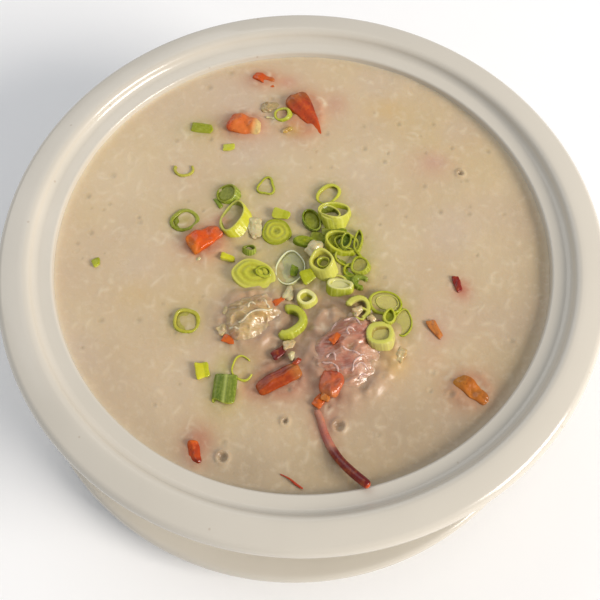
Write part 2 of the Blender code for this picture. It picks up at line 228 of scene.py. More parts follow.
# The cove swings up from the ledge by r = ledge + width sin a, h = top - height cos a, and turns over into
# the rim's top. The rim slopes evenly outwards, falls over its edge as a quarter ellipse and rolls under.
swing = np.radians(np.linspace(8, 74, 12))
cove = np.stack(
    [
        LEDGE_OUTER + (RIM_INNER - LEDGE_OUTER) * np.sin(swing),
        RIM_TOP - 0.35 - (RIM_TOP - 0.35 - LEDGE) * np.cos(swing),
    ],
    1,
)
fall = np.radians(np.linspace(14, 88, 18))
edge = np.stack(
    [
        RIM_EDGE + (RIM_RADIUS - RIM_EDGE) * np.sin(fall),
        RIM_WIDEST + (RIM_TOP - RIM_EDGE_DROP - RIM_WIDEST) * np.cos(fall),
    ],
    1,
)
bowl_profile = np.concatenate(
    [
        body_curve(OPENING_RADIUS, LEDGE - BOWL_FLOOR, 0, 84, 30),
        arc((OPENING_RADIUS + LIP_ROUND, LEDGE - LIP_ROUND), LIP_ROUND, 176, 92, 7),
        cove,
        [(RIM_INNER + 0.9, RIM_TOP - 0.06), (RIM_CROWN, RIM_TOP - 0.02), (RIM_CROWN + 1.6, RIM_TOP - 0.22)],
        edge,
        arc((RIM_RADIUS - RIM_UNDER_ROUND, RIM_WIDEST), RIM_UNDER_ROUND, 0, -88, 10),
        [(OPENING_RADIUS + BOWL_WALL + 3.2, RIM_WIDEST - RIM_UNDER_ROUND - 0.3)],
        arc((OPENING_RADIUS + BOWL_WALL + 2.4, RIM_WIDEST - RIM_UNDER_ROUND - 2.8), 2.2, 95, 178, 6),
        body_curve(OPENING_RADIUS + BOWL_WALL, LEDGE - BOWL_UNDERSIDE, 80, 24.5, 36),
        [(FOOT_OUTER + 0.2, BOWL_UNDERSIDE - 0.2)],
        arc((FOOT_OUTER - 1.4, FOOT_BOTTOM + 1.2), 1.2, 0, -90, 5),
        arc((FOOT_INNER + 1.4, FOOT_BOTTOM + 1.2), 1.2, -90, -180, 5),
        [(FOOT_INNER, BOWL_UNDERSIDE), (0, BOWL_UNDERSIDE)],
    ]
)
bowl = make_piece("bowl_porcelain", *turned(bowl_profile, BOWL_AXIS), porcelain)
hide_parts("bowl")

# ---------------------------------------------------------------------------------------------------------
# Congee: rice boiled until it breaks down into a thick cloudy porridge, poured in hot and level. Its skin
# sags in slow waves, climbs the wall and every topping, and shows burst rice as soft paler flecks.
# ---------------------------------------------------------------------------------------------------------
CONGEE_RADIUS = 94.75  # just into the wall
CONGEE_LEVEL = 73.1
CONGEE_LINES = 269  # lines each way over the skin, 0.7 mm apart
WALL_CLIMB, WALL_REACH = 1.2, 1.7
FLECKS = 760
PITS = 90

SHELL_NODES = (
    "claw_shell", "knuckle_shell", "shell_back", "shell_chunk", "shell_stick", "shell_centre", "shell_right",
    "shell_front_left",
)  # fmt: skip
MEAT_NODES = ("meat_left", "meat_centre")
SCALLION_NODES = tuple(
    node
    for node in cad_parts
    if node.split("_")[0] in ("tube", "ring", "slice", "curl", "leaf", "bulb")
)


def soft_noise(x, y, cell, seed):
    """Relief from -1 to 1: random heights on a square net of that cell, blended between by 3t² - 2t³."""
    net = np.random.default_rng(seed).uniform(-1, 1, (64, 64))
    x, y = (0.8 * x - 0.6 * y) / cell, (0.6 * x + 0.8 * y) / cell
    i, j = np.floor(x).astype(int), np.floor(y).astype(int)
    s, t = x - i, y - j
    s, t = s * s * (3 - 2 * s), t * t * (3 - 2 * t)
    near = net[i % 64, j % 64] * (1 - s) + net[(i + 1) % 64, j % 64] * s
    far = net[i % 64, (j + 1) % 64] * (1 - s) + net[(i + 1) % 64, (j + 1) % 64] * s
    return near * (1 - t) + far * t


def towards(tint, colour, weight):
    """Colours moved towards another by a weight for each point, from 0 to 1."""
    return tint + (np.array(linear(colour)[:3]) - tint) * np.clip(weight, 0, 1)[..., None]


def topping_distance(x, y, node):
    """Distance in mm outwards from an ellipse that fills a CAD node's box: (q - 1) times its mean half-width,
    where q is 1 on the ellipse."""
    low, high = (np.array(corner) * 1000 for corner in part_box(node))
    middle, half = (low + high) / 2, (high - low) / 2
    q = np.hypot((x - middle[0]) / half[0], (y - middle[1]) / half[1])
    return (q - 1) * (half[0] + half[1]) / 2


side = np.linspace(-1, 1, CONGEE_LINES)
u, v = np.meshgrid(side, side)
# A square net drawn out to a disc: x = u sqrt(1 - v²/2), y = v sqrt(1 - u²/2)
x = BOWL_AXIS + CONGEE_RADIUS * u * np.sqrt(1 - v * v / 2)
y = CONGEE_RADIUS * v * np.sqrt(1 - u * u / 2)
from_axis = np.hypot(x - BOWL_AXIS, y)

height = 0.2 * soft_noise(x, y, 17, 1) + 0.13 * soft_noise(x, y, 7, 2) + 0.05 * soft_noise(x, y, 2.6, 3)
height += WALL_CLIMB * np.exp(-(OPENING_RADIUS - from_axis).clip(0) / WALL_REACH)
tint = np.zeros(x.shape + (3,)) + linear("C6AF8C")[:3]
tint = towards(tint, "CDB896", 0.5 + 0.5 * soft_noise(x, y, 24, 4))
tint = towards(tint, "BFA486", 0.35 * (0.5 + 0.6 * soft_noise(x, y, 15, 5)))
tint = towards(tint, "C9B184", 0.5 * soft_noise(x, y, 19, 6).clip(0))
tint = towards(tint, "C3AE9A", 0.6 * soft_noise(x, y, 21, 7).clip(0))

# Juices colour the congee round what lies in it. It climbs each topping, unevenly, and is heaped where
# toppings lie close together.
lift = np.zeros(x.shape)
uneven = 1 + 0.45 * soft_noise(x, y, 2.6, 8)
for nodes, colour, reach, strength in (
    (SCALLION_NODES, "A59A4E", 3.0, 0.55),
    (SHELL_NODES, "B66A48", 3.4, 0.62),
    (MEAT_NODES, "AE8468", 6.0, 0.62),
):
    for node in nodes:
        away = topping_distance(x, y, node).clip(0)
        tint = towards(tint, colour, strength * np.exp(-away / reach))
        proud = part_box(node)[1][2] * 1000 - CONGEE_LEVEL
        climb = 2.1 if node in MEAT_NODES else min(1.0, 0.3 * proud)
        spread = 4.0 if node in MEAT_NODES else 2.2
        lift = np.maximum(lift, climb * uneven * np.exp(-((away / spread) ** 1.5)))
height += lift

# Patches away from the toppings: right and back from the bowl's axis, reach each way, strength, colour. Most
# are pink and gold juices and darker patches among the toppings; three are painted shade, marked below
STAINS_AND_PAINTED_SHADE = (
    (13.5, 69, 5.5, 7, 0.6, "BE8A70"), (-7, 80.5, 4.5, 3.5, 0.65, "C08870"), (-5, 55, 4, 2.6, 0.6, "C9A24E"),
    (-35, -76.5, 5, 5.5, 0.75, "B06E54"), (60.2, -16.8, 3.6, 4.4, 0.8, "B86A54"),
    (49.6, -35.5, 4, 5, 0.45, "BE8068"), (-32, 12, 3.2, 3.4, 0.6, "C08068"),
    (-17, -57, 5, 4, 0.6, "BC7C62"), (-12, 68, 6.5, 5, 0.5, "B39C7C"),
    (9.5, -66, 4, 8, 0.45, "BC8268"), (52.5, 39, 9, 7, 0.4, "C79C80"), (34.5, 67, 8, 6, 0.45, "CBAA6C"),
    (68.5, 50, 8, 6, 0.3, "CBAE78"), (-62, -20, 9, 6, 0.35, "C6A872"), (34, -47, 5, 6, 0.6, "CDA860"),
    (-46.8, 12.4, 6, 6, 0.7, "9C9040"), (-28, -51, 3, 8, 0.5, "B4AC5E"), (50, -30, 12, 9, 0.4, "C3A08C"),
    (14, 1, 12, 14, 0.62, "A6A456"), (-3, -10, 11, 12, 0.45, "9C9658"), (30, -27, 9, 9, 0.45, "AEA45C"),
    (0, -35, 12, 12, 0.6, "9E7E6A"), (-2, -50, 12, 10, 0.55, "A07E6C"), (12, -62, 8, 9, 0.5, "A67C66"),
    (7.6, -70, 4, 6.5, 0.6, "AE6C54"), (12.4, -80, 3.4, 5, 0.4, "A87860"), (8, -24, 9, 6, 0.5, "94745C"),
    # the last patch on the next line, at (-8, -54), is a painted shadow up and left of the shell stick
    (20, -19, 7, 5, 0.5, "9C7450"), (-18, -44, 9, 6, 0.35, "A08262"), (-8, -54, 10, 7, 0.45, "8C5A44"),
    # the first two patches on the next line, at (-20, -86) and (34, -70), are painted shade along the near
    # wall
    (-20, -86, 26, 10, 0.4, "9A8670"), (34, -70, 26, 15, 0.35, "A08C76"), (53.5, 41, 5, 4, 0.4, "BE9084"),
    (-20, -50, 5, 5, 0.4, "C2B36A"), (58, -58, 8, 6, 0.45, "BF8E68"), (47, -46, 5, 4, 0.4, "C79A76"),
)  # fmt: skip
for right, back, reach_x, reach_y, strength, colour in STAINS_AND_PAINTED_SHADE:
    spread = ((x - BOWL_AXIS - right) / reach_x) ** 2 + ((y - back - 0.6) / reach_y) ** 2
    tint = towards(tint, colour, strength * np.exp(-spread))

# Burst rice: soft paler strips, straight or bent, half of them faint, each a low bump
rng = np.random.default_rng(11)
for _ in range(FLECKS):
    reach, turn = 92 * math.sqrt(rng.random()), rng.uniform(0, 2 * math.pi)
    along_turn, half_long, half_wide = rng.uniform(0, math.pi), rng.uniform(0.8, 2.9), rng.uniform(0.45, 0.85)
    bend, strength = rng.normal(0, 0.12), rng.uniform(0.15, 1.0) ** 1.5
    dx, dy = x - BOWL_AXIS - reach * math.cos(turn), y - reach * math.sin(turn)
    near = dx * dx + dy * dy < 16
    along = dx[near] * math.cos(along_turn) + dy[near] * math.sin(along_turn)
    across = dy[near] * math.cos(along_turn) - dx[near] * math.sin(along_turn) + bend * along * along
    mask = strength * np.exp(-((along / half_long) ** 4) - (across / half_wide) ** 2)
    tint[near] = towards(tint[near], "DCCBAD", 0.5 * mask)
    height[near] += 0.09 * mask

# Steam leaves small pits with a raised lip, each painted darker in its hollow as painted shade
for _ in range(PITS):
    reach, turn, wide = 92 * math.sqrt(rng.random()), rng.uniform(0, 2 * math.pi), rng.uniform(0.55, 1.2)
    away = np.hypot(x - BOWL_AXIS - reach * math.cos(turn), y - reach * math.sin(turn)) / wide
    height += rng.uniform(0.15, 0.4) * (0.5 * np.exp(-((away - 1.4) ** 2) * 4) - np.exp(-away * away))
    # painted shade in the pit's hollow
    tint = towards(tint, "9E8A68", 0.45 * np.exp(-away * away))

# Four larger bubbles have burst and left craters: right, back, radius. Each crater is painted dark towards its
# left and back, as painted shade
CRATERS = ((-26.6, -81.3, 2.1), (13.4, -69.9, 2.3), (-5.4, -68.2, 1.4), (63.3, 35.8, 1.5))
for right, back, wide in CRATERS:
    dx, dy = x - BOWL_AXIS - right, y - back
    away = np.hypot(dx, dy) / wide
    height += 0.75 * np.exp(-((away - 1.0) ** 2) * 9) - 0.9 * np.exp(-((away / 0.75) ** 4))
    # painted shade: a dark patch towards the crater's left and back
    tint = towards(tint, "7E6040", 0.7 * np.exp(-((dx / wide + 0.45) ** 2 + (dy / wide - 0.45) ** 2) * 3))

# At the wall the congee thins to a pale film. Towards the near right wall it is painted darker and greyer, as
# painted shade from the rim
to_wall = (OPENING_RADIUS - from_axis).clip(0)
tint = towards(tint, "DDCFB4", 0.75 * np.exp(-to_wall / 0.9))
near_right_painted_shade = 0.5 + 0.5 * np.cos(np.arctan2(y, x - BOWL_AXIS) + math.radians(62))
# painted shade: darker, greyer congee along the near right wall
tint = towards(tint, "8F7F68", 0.6 * near_right_painted_shade**2 * np.exp(-to_wall / 15))

skin_points = np.stack([x, y, CONGEE_LEVEL + height], -1).reshape(-1, 3)
skin_tint = tint.reshape(-1, 3)
# Below the skin the outermost line of points goes down along the wall in rings, shrunk as the body curve is
net = np.arange(CONGEE_LINES * CONGEE_LINES).reshape(CONGEE_LINES, -1)
outline = np.concatenate([net[0, :-1], net[:-1, -1], net[-1, :0:-1], net[:0:-1, 0]])
below = body_curve(1.0, LEDGE - BOWL_FLOOR - 0.3, 78, 6, 6)
rings = np.repeat(skin_points[outline][None], len(below), 0)
rings[..., 0] = BOWL_AXIS + (rings[..., 0] - BOWL_AXIS) * below[:, :1]
rings[..., 1] *= below[:, :1]
rings[..., 2] = below[:, 1:]
ring_ids = np.concatenate([outline, len(skin_points) + np.arange(rings.shape[0] * rings.shape[1])])
wall_faces = ring_ids[grid_quads(len(below) + 1, len(outline), ring_columns=True)]
last = ring_ids[-len(outline) :]
middle = len(skin_points) + rings.shape[0] * rings.shape[1]
floor_faces = np.stack([last, np.roll(last, -1), np.full(len(last), middle)], 1)
points = np.concatenate([skin_points, rings.reshape(-1, 3), [[BOWL_AXIS, 0, BOWL_FLOOR + 0.3]]])
faces = grid_quads(CONGEE_LINES, CONGEE_LINES).tolist() + wall_faces.tolist() + floor_faces.tolist()
tint = np.concatenate([skin_tint, np.tile(skin_tint[outline], (len(below), 1)), skin_tint[:1]])

# Congee: starch gel with broken rice in it, cloudy and moist. Light sinks a millimetre or two into it, and
# its wet skin has a soft gloss, duller where a film has set. Fine grains show as a mottle and a low relief.
congee_gel, tree, shader = new_material(
    "congee_gel",
    {"IOR": 1.38, "Subsurface Weight": 0.25,
     "Subsurface Radius": (0.0022, 0.0015, 0.0009), "Subsurface Scale": 1.0},
)  # fmt: skip
place = add(tree, "TexCoord", {}, {}).outputs["Object"]
painted = add(tree, "VertexColor", {"layer_name": "tint"}, {})
mottle = ramp(tree, pattern(tree, place, 3.2, 3.0, Roughness=0.6), 0.52, 0.76, 0.0, 0.24)
cloudy = laid_over(tree, painted.outputs["Color"], "DDCDB2", mottle)
gloss = ramp(tree, pattern(tree, place, 9, 2.0), 0, 1, 0.2, 0.42)
grains = relief(tree, pattern(tree, place, 1.8, 3.0), 0.35, 0.35)
dress(tree, shader, cloudy, gloss, grains)

congee = make_piece("congee_gel", points, faces, congee_gel, tint)
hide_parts("congee")

# ---------------------------------------------------------------------------------------------------------
# Lobster shell: chips of the cooked claw, knuckle and tail shell, broken off and half sunk in the congee.
# Hard chitin turned orange-red by heat, paler where it was cut, wet with broth.
# ---------------------------------------------------------------------------------------------------------
SHELL_CHIPS = {
    "claw_shell": dict(size=(23, 14, 6.4), turn=-58, tilt=(0, 4), square=0.38, taper=0.1, swell=0.01),
    "knuckle_shell": dict(size=(14.4, 10.4, 7.6), turn=-14, tilt=(0, 0), square=0.1, taper=0.8, swell=0.1),
    "shell_back": dict(size=(10.0, 5.0, 4.0), turn=-24, tilt=(0, 0), square=0.2, taper=0.8, swell=0.06),
    "shell_chunk": dict(size=(14.6, 9.6, 7.4), turn=36, tilt=(0, 4), square=0.45, taper=0.72, swell=0.05),
    "shell_stick": dict(size=(17.4, 6.0, 4.6), turn=29, tilt=(0, -3), square=0.5, taper=1.15, swell=0.01),
    "shell_centre": dict(size=(11.0, 7.4, 5.0), turn=76, tilt=(0, 0), square=0.2, taper=1.3, swell=0.06),
    "shell_right": dict(size=(14.0, 6.4, 4.8), turn=-42, tilt=(0, 0), square=0.3, taper=0.9, swell=0.06),
    "shell_front_left": dict(size=(8.8, 4.8, 4.2), turn=-78, tilt=(0, 0), square=0.3, taper=0.9, swell=0.05),
}
# Colours of each chip: its back, its edges and low sides, its near end, its far end
SHELL_COLOURS = {
    "claw_shell": ("A83C12", "C04606", "96501E", "C64E0C"),
    "knuckle_shell": ("CA6A2A", "B84E1E", "C04A1A", "CEB072"),
    "shell_back": ("C24E08", "A43404", "C24806", "AC5C26"),
    "shell_chunk": ("D25206", "AA3203", "C86A1A", "BE582C"),
    "shell_stick": ("9A3600", "AE4802", "983C02", "A8622A"),
    "shell_centre": ("B45430", "A66A44", "BA6A38", "AC4A2C"),
    "shell_right": ("AE661A", "A04C0C", "B87826", "A8601C"),
    "shell_front_left": ("B24008", "882404", "C0540C", "7C2004"),
}


def signed_power(value, power):
    """The value's sign times its size to a power. Below 1 it draws a circle out towards a box."""
    return np.sign(value) * np.abs(value) ** power


def lump(size, square, taper, swell, rows=56, columns=84):
    """A closed lump: a sphere drawn towards a box by the power 1 - square, its width scaled evenly along its
    length to taper at the far end, and its surface moved by swell times waves of its own place. Returns the
    points in mm and the unscaled place of each from -1 to 1."""
    along, around = np.linspace(0, np.pi, rows), np.linspace(0, 2 * np.pi, columns, endpoint=False)
    s, t = np.meshgrid(along, around, indexing="ij")
    x, y, z = -np.cos(s), np.sin(s) * np.cos(t), np.sin(s) * np.sin(t)
    wave = np.sin(3.1 * x + 1) * np.cos(3.7 * y - 0.6) + np.sin(4.3 * z + x)
    unit = np.stack([signed_power(c, 1 - square) * (1 + swell * wave) for c in (x, y, z)], -1)
    unit[..., 1:] *= 1 + (taper - 1) * (unit[..., :1] + 1) / 2
    faces = grid_quads(rows, columns, ring_columns=True)
    return (unit * np.array(size) / 2).reshape(-1, 3), unit.reshape(-1, 3), faces


def turned_by(points, turn, tilt):
    """Points turned about x, then y, then z, by degrees."""
    for angle, first, second in ((tilt[0], 1, 2), (tilt[1], 2, 0), (turn, 0, 1)):
        c, s = math.cos(math.radians(angle)), math.sin(math.radians(angle))
        points = points.copy()
        points[:, first], points[:, second] = (
            c * points[:, first] - s * points[:, second],
            s * points[:, first] + c * points[:, second],
        )
    return points


def set_in_place(points, turn, tilt, node):
    """Points turned, and moved so that the middle of their box is the CAD node's."""
    points = turned_by(points, turn, tilt)
    low, high = (np.array(corner) * 1000 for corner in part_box(node))
    return points + (low + high) / 2 - (points.min(0) + points.max(0)) / 2


def fitted(points, node, spread=1.0):
    """Points stretched each way about their middle, so that their box has the size of the CAD node's. spread
    widens it level, as leaves that lie in broth swell."""
    low, high = (np.array(corner) * 1000 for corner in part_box(node))
    middle = (low + high) / 2
    return middle + (points - middle) * (high - low) / (points.max(0) - points.min(0)) * (spread, spread, 1.0)


# Boiled lobster shell: chitin with an orange-red pigment, clouded paler orange and pricked with dark pores
# some 1.3 mm apart. The broth on it gives a sharp clear gloss over the duller shell.
boiled_shell, tree, shader = new_material(
    "boiled_lobster_shell",
    {"IOR": 1.45, "Coat Weight": 0.5, "Coat Roughness": 0.05, "Specular IOR Level": 0.2,
     "Subsurface Weight": 0.08, "Subsurface Radius": (0.001, 0.0005, 0.0002), "Subsurface Scale": 1.0},
)  # fmt: skip
place = add(tree, "TexCoord", {}, {}).outputs["Object"]
painted = add(tree, "VertexColor", {"layer_name": "tint"}, {})
cloud = pattern(tree, place, 2.6, 4.0, Roughness=0.65)
flushed = laid_over(tree, painted.outputs["Color"], "E07A1E", ramp(tree, cloud, 0.5, 0.74, 0.0, 0.3))
pores = add(tree, "TexVoronoi", {"Scale": 1000 / 1.3}, {"Vector": place}).outputs["Distance"]
pored = laid_over(tree, flushed, "6A2008", ramp(tree, pores, 0.08, 0.2, 0.55, 0.0))
gloss = ramp(tree, cloud, 0, 1, 0.22, 0.5)
dress(tree, shader, pored, gloss, relief(tree, pores, 0.2, 0.5, relief(tree, cloud, 0.4, 0.6)))

for node, chip in SHELL_CHIPS.items():
    points, unit, faces = lump(chip["size"], chip["square"], chip["taper"], chip["swell"])
    back, low_side, near_end, far_end = SHELL_COLOURS[node]
    px, py, pz = unit.T
    # A ridge runs along the back, and the surface dents by soft noise on the unscaled place
    smooth = node in ("shell_stick", "claw_shell")
    dents = 0.9 * soft_noise(points[:, 0] + 40, points[:, 1] + pz, 3.6, len(node))
    dents += 0.3 * soft_noise(points[:, 0], points[:, 1] + 30, 1.4, 9)
    ridge = np.exp(-((py - 0.25 * px) ** 2) * 18) * (pz > 0) * (1.1 if smooth else 0.35)
    points[:, 2] += (dents * (0.35 if smooth else 1.0) + ridge) * (pz > -0.3)
    points[:, 1] += (0.25 if smooth else 0.7) * soft_noise(points[:, 0] + 60, points[:, 2], 2.8, 12)
    tint = np.zeros(points.shape) + linear(back)[:3]
    patches = soft_noise(points[:, 0], points[:, 1], 3.0, 21).clip(0)
    tint = towards(tint, low_side, 1.2 * (0.55 - pz).clip(0) + 0.5 * patches)
    # One long side of the stick and the claw is painted dark red. On the stick this is painted shade, the side
    # turned away from the light
    tint = towards(tint, "6E1C08", 0.75 * ((py - 0.3) / 0.3).clip(0, 1) * smooth)
    tint = towards(tint, near_end, ((-0.45 - px) / 0.35).clip(0, 1))
    tint = towards(tint, far_end, ((px - 0.45) / 0.35).clip(0, 1))
    points = fitted(set_in_place(points, chip["turn"], chip["tilt"], node), node)
    chip_piece = make_piece(node + "_chip", points, faces, boiled_shell, tint)
    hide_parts(node)

# ---------------------------------------------------------------------------------------------------------
# Lobster flesh: two pieces of cooked tail and knuckle meat, pulled apart by hand and sunk in the congee.
# Firm muscle in soft folds, blushed pink outside, with glossy curls of membrane lying on it.
# ---------------------------------------------------------------------------------------------------------
FLESH_LUMPS = {
    "meat_left": dict(size=(23, 18, 11), turn=28, square=0.1, taper=0.9, swell=0.09, fold=4.4),
    "meat_centre": dict(size=(36, 26, 12.4), turn=58, square=0.05, taper=1.0, swell=0.08, fold=4.8),
}
# Tones of cooked flesh
FLESH = {"tan": "B49660", "straw": "CCB07A", "brown": "96744A", "rose": "AC7A5C", "light_rose": "CE9E80",
         "deep_rose": "A85A4C", "orange": "B8501E", "gold": "BC9048"}  # fmt: skip
# Tones of each piece: plain, raised folds painted lighter as painted light, hollows painted darker as painted
# shade
FLESH_TONES = {"meat_left": ("tan", "straw", "brown"), "meat_centre": ("rose", "light_rose", "brown")}
# Blushes on the flesh: right and back from the bowl's axis, reach, strength, tone
BLUSHES = (
    (16, -32, 4, 0.8, "deep_rose"), (22, -36, 4, 0.6, "deep_rose"), (11.5, -38.5, 3.5, 0.95, "orange"),
    (6.5, -41, 4.5, 0.7, "deep_rose"), (16, -47.5, 4, 0.7, "deep_rose"), (33.5, -47.5, 5, 0.9, "gold"),
    (19, -26, 4.5, 0.8, "tan"), (10.5, -25, 4.5, 0.7, "brown"), (9.5, -50.5, 3, 0.8, "orange"),
    (-9, -23, 3, 0.95, "orange"), (-13, -30, 3, 0.8, "gold"), (-26.5, -38, 3, 0.9, "orange"),
    (-16.5, -23.5, 3.5, 0.5, "rose"), (-14, -36, 5, 0.7, "tan"),
)  # fmt: skip
# Curls of membrane: right and back of the middle from the bowl's axis, length, and turn and bend in degrees
MEMBRANE_CURLS = (
    (7, -32.5, 13, -110, 80), (12, -31.5, 8, -100, 30), (19, -31, 8.5, -20, -40), (18.5, -43.5, 9, -20, 120),
    (11, -45, 6.5, -20, -120), (11.5, -49, 10, -40, -10), (19.5, -47.5, 8, 60, 40), (22, -52, 4.5, 25, 0),
    (30, -42.5, 5, 0, 60), (17.5, -35.5, 6.5, 40, -150), (-17, -29, 15, 25, 50), (-13, -24.5, 5, 120, 120),
    (-24.5, -34.5, 4.5, -15, 70), (-18.5, -25.5, 4.5, 20, -80), (3.5, -43, 6, -60, -110),
    (21.5, -48.5, 7, 0, -70), (25.5, -36.5, 6.5, -60, -20),
)  # fmt: skip
CURL_RADIUS, CURL_STATIONS = 0.48, 48

# Cooked lobster flesh: muscle that lets light in, with fibres about 1 mm apart in low relief and a wet skin
cooked_flesh, tree, shader = new_material(
    "cooked_lobster_flesh",
    {"IOR": 1.42, "Coat Weight": 0.6, "Coat Roughness": 0.12, "Subsurface Weight": 0.35,
     "Subsurface Radius": (0.003, 0.0014, 0.0009), "Subsurface Scale": 1.0},
)  # fmt: skip
place = add(tree, "TexCoord", {}, {}).outputs["Object"]
painted = add(tree, "VertexColor", {"layer_name": "tint"}, {})
squeeze = {"Rotation": (0, 0, math.radians(-50)), "Scale": (1, 3, 1)}
stretched = add(tree, "Mapping", squeeze, {"Vector": place})
fibre = pattern(tree, stretched.outputs["Vector"], 2.8, 3.0, Roughness=0.55, Distortion=0.6)
streaked = laid_over(tree, painted.outputs["Color"], "DCC4B0", ramp(tree, fibre, 0.5, 0.74, 0.0, 0.32))
dress(tree, shader, streaked, ramp(tree, fibre, 0, 1, 0.2, 0.42), relief(tree, fibre, 0.6, 0.6))

flesh_tops = []
for node, flesh in FLESH_LUMPS.items():
    points, unit, faces = lump(flesh["size"], flesh["square"], flesh["taper"], flesh["swell"], 120, 170)
    plain, raised, hollow = (FLESH[tone] for tone in FLESH_TONES[node])
    px, py, pz = unit.T
    rising = np.clip(pz, 0, 1)
    # The top is flattened towards its edge, z times the ball's own height, so that it runs out into the
    # congee.
    # Folds: 1 - |noise| makes sharp crests between round hollows.
    fold = 1 - np.abs(soft_noise(points[:, 0] + 50, points[:, 1], flesh["fold"], 31))
    fine = 1 - np.abs(soft_noise(points[:, 0] + 9, points[:, 1] - 20, flesh["fold"] / 2.4, 32))
    points[:, 2] *= np.where(pz > 0, rising**0.8, 1.0)
    points[:, 2] += (1.5 * (fold - 0.62) + 0.8 * (fine - 0.62)) * rising**0.7
    tint = np.zeros(points.shape) + linear(plain)[:3]
    # Crests of the folds are painted lighter, as painted light, and the hollows between them brown, as painted
    # shade
    tint = towards(tint, raised, 1.5 * (0.6 * fold + 0.4 * fine - 0.58))
    tint = towards(tint, hollow, 1.3 * (0.6 - 0.6 * fold - 0.4 * fine).clip(0) * 2)
    points = set_in_place(points, flesh["turn"], (0, 0), node)
    for right, back, reach, strength, tone in BLUSHES:
        spread = ((points[:, 0] - BOWL_AXIS - right) ** 2 + (points[:, 1] - back) ** 2) / reach**2
        tint = towards(tint, FLESH[tone], strength * np.exp(-spread))
    tint = towards(tint, "BDA78B", 1 - (rising / 0.8) ** 1.6)
    flesh_piece = make_piece(node + "_flesh", points, faces, cooked_flesh, tint)
    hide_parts(node)
    flesh_tops.append(points[pz > 0.05])
flesh_tops = np.concatenate(flesh_tops)


def smooth_route(route, steps):
    """Points on a Catmull-Rom curve through a route: each stretch is a cubic of its four nearest stations."""
    ends = np.vstack([2 * route[0] - route[1], route, 2 * route[-1] - route[-2]])
    t = np.linspace(0, len(route) - 1, steps)
    k = np.minimum(t.astype(int), len(route) - 2)
    f = (t - k)[:, None]
    a, b, c, d = (ends[k + n] for n in range(4))
    return 0.5 * (2 * b + (c - a) * f + (2 * a - 5 * b + 4 * c - d) * f**2 + (3 * b - a - 3 * c + d) * f**3)


def tube(route, around):
    """A closed round tube along points of (x, y, z, radius): the route plus radius times cosine across and
    sine upwards, drawn to a point over each end by a quarter circle."""
    run = np.gradient(route[:, :3], axis=0)
    run /= np.linalg.norm(run, axis=1, keepdims=True)
    across = np.cross(run, (0, 0, 1.0))
    across /= np.linalg.norm(across, axis=1, keepdims=True)
    up = np.cross(across, run)
    length = np.concatenate([[0], np.cumsum(np.linalg.norm(np.diff(route[:, :3], axis=0), axis=1))])
    reach = np.minimum(length, length[-1] - length)
    radius = route[:, 3] * np.sqrt(1 - (1 - (reach / route[:, 3]).clip(0, 1)) ** 2)
    t = np.linspace(0, 2 * np.pi, around, endpoint=False)
    ring = across[:, None] * np.cos(t)[:, None] + up[:, None] * np.sin(t)[:, None]
    points = route[:, None, :3] + radius[:, None, None] * ring
    return points.reshape(-1, 3), grid_quads(len(route), around, ring_columns=True)


def joined(parts):
    """Several meshes as one: points and colours stacked, and each one's faces numbered on from the last."""
    starts = np.cumsum([0] + [len(points) for points, _, _ in parts[:-1]])
    faces = np.concatenate([faces + start for (_, faces, _), start in zip(parts, starts)])
    return np.concatenate([p for p, _, _ in parts]), faces, np.concatenate([tint for _, _, tint in parts])


# A curl's heading is its turn, plus its bend spread along it, plus one sine wave of 35 degrees. It lies on
# the flesh, its height smoothed over seven stations.
s = np.linspace(0, 1, CURL_STATIONS)
curl_parts = []
for right, back, length, turn, bend in MEMBRANE_CURLS:
    heading = np.radians(turn + bend * (s - 0.5) + 35 * np.sin(2 * np.pi * s))
    route = np.cumsum(np.stack([np.cos(heading), np.sin(heading)], 1), 0) * length / CURL_STATIONS
    route += (BOWL_AXIS + right, back) - route.mean(0)
    near = np.argmin(((route[:, None, :] - flesh_tops[None, :, :2]) ** 2).sum(-1), axis=1)
    level = np.convolve(np.pad(flesh_tops[near, 2], 3, "edge"), np.ones(7) / 7, "valid") - 0.05
    radius = CURL_RADIUS * (0.75 + 0.25 * np.sin(12 * s))
    points, faces = tube(np.column_stack([route, level, radius]), 12)
    # Curls on the right piece are pale pink, on the left cream. The long left curl lies along a line of
    # glints, so its cream is partly a painted highlight
    colour = "D2A698" if right > 0 else "DCC6A0"
    curl_parts.append((points, faces, np.zeros(points.shape) + linear(colour)[:3]))
points, faces, tint = joined(curl_parts)
curls = make_piece("membrane_curls", points, faces, cooked_flesh, tint)

# ---------------------------------------------------------------------------------------------------------
# Walking leg: the thin last joints of one leg, cooked whole, lying from the flesh down to the front wall.
# Its base is bare pink flesh and the rest is dark red shell with an orange tip.
# ---------------------------------------------------------------------------------------------------------
LEG_ROUTE = np.array(
    [(5.4, -64.0, 0.7, 1.2), (6.8, -67.0, 0.1, 1.35), (8.4, -72.4, -0.2, 1.5), (10.8, -77.8, 0.5, 1.6),
     (14.0, -83.0, 2.4, 1.6), (18.0, -87.5, 4.4, 1.65), (21.4, -90.7, 5.6, 1.65), (23.0, -92.4, 6.0, 1.6)]
)  # fmt: skip
LEG_LINES, LEG_AROUND = 120, 28

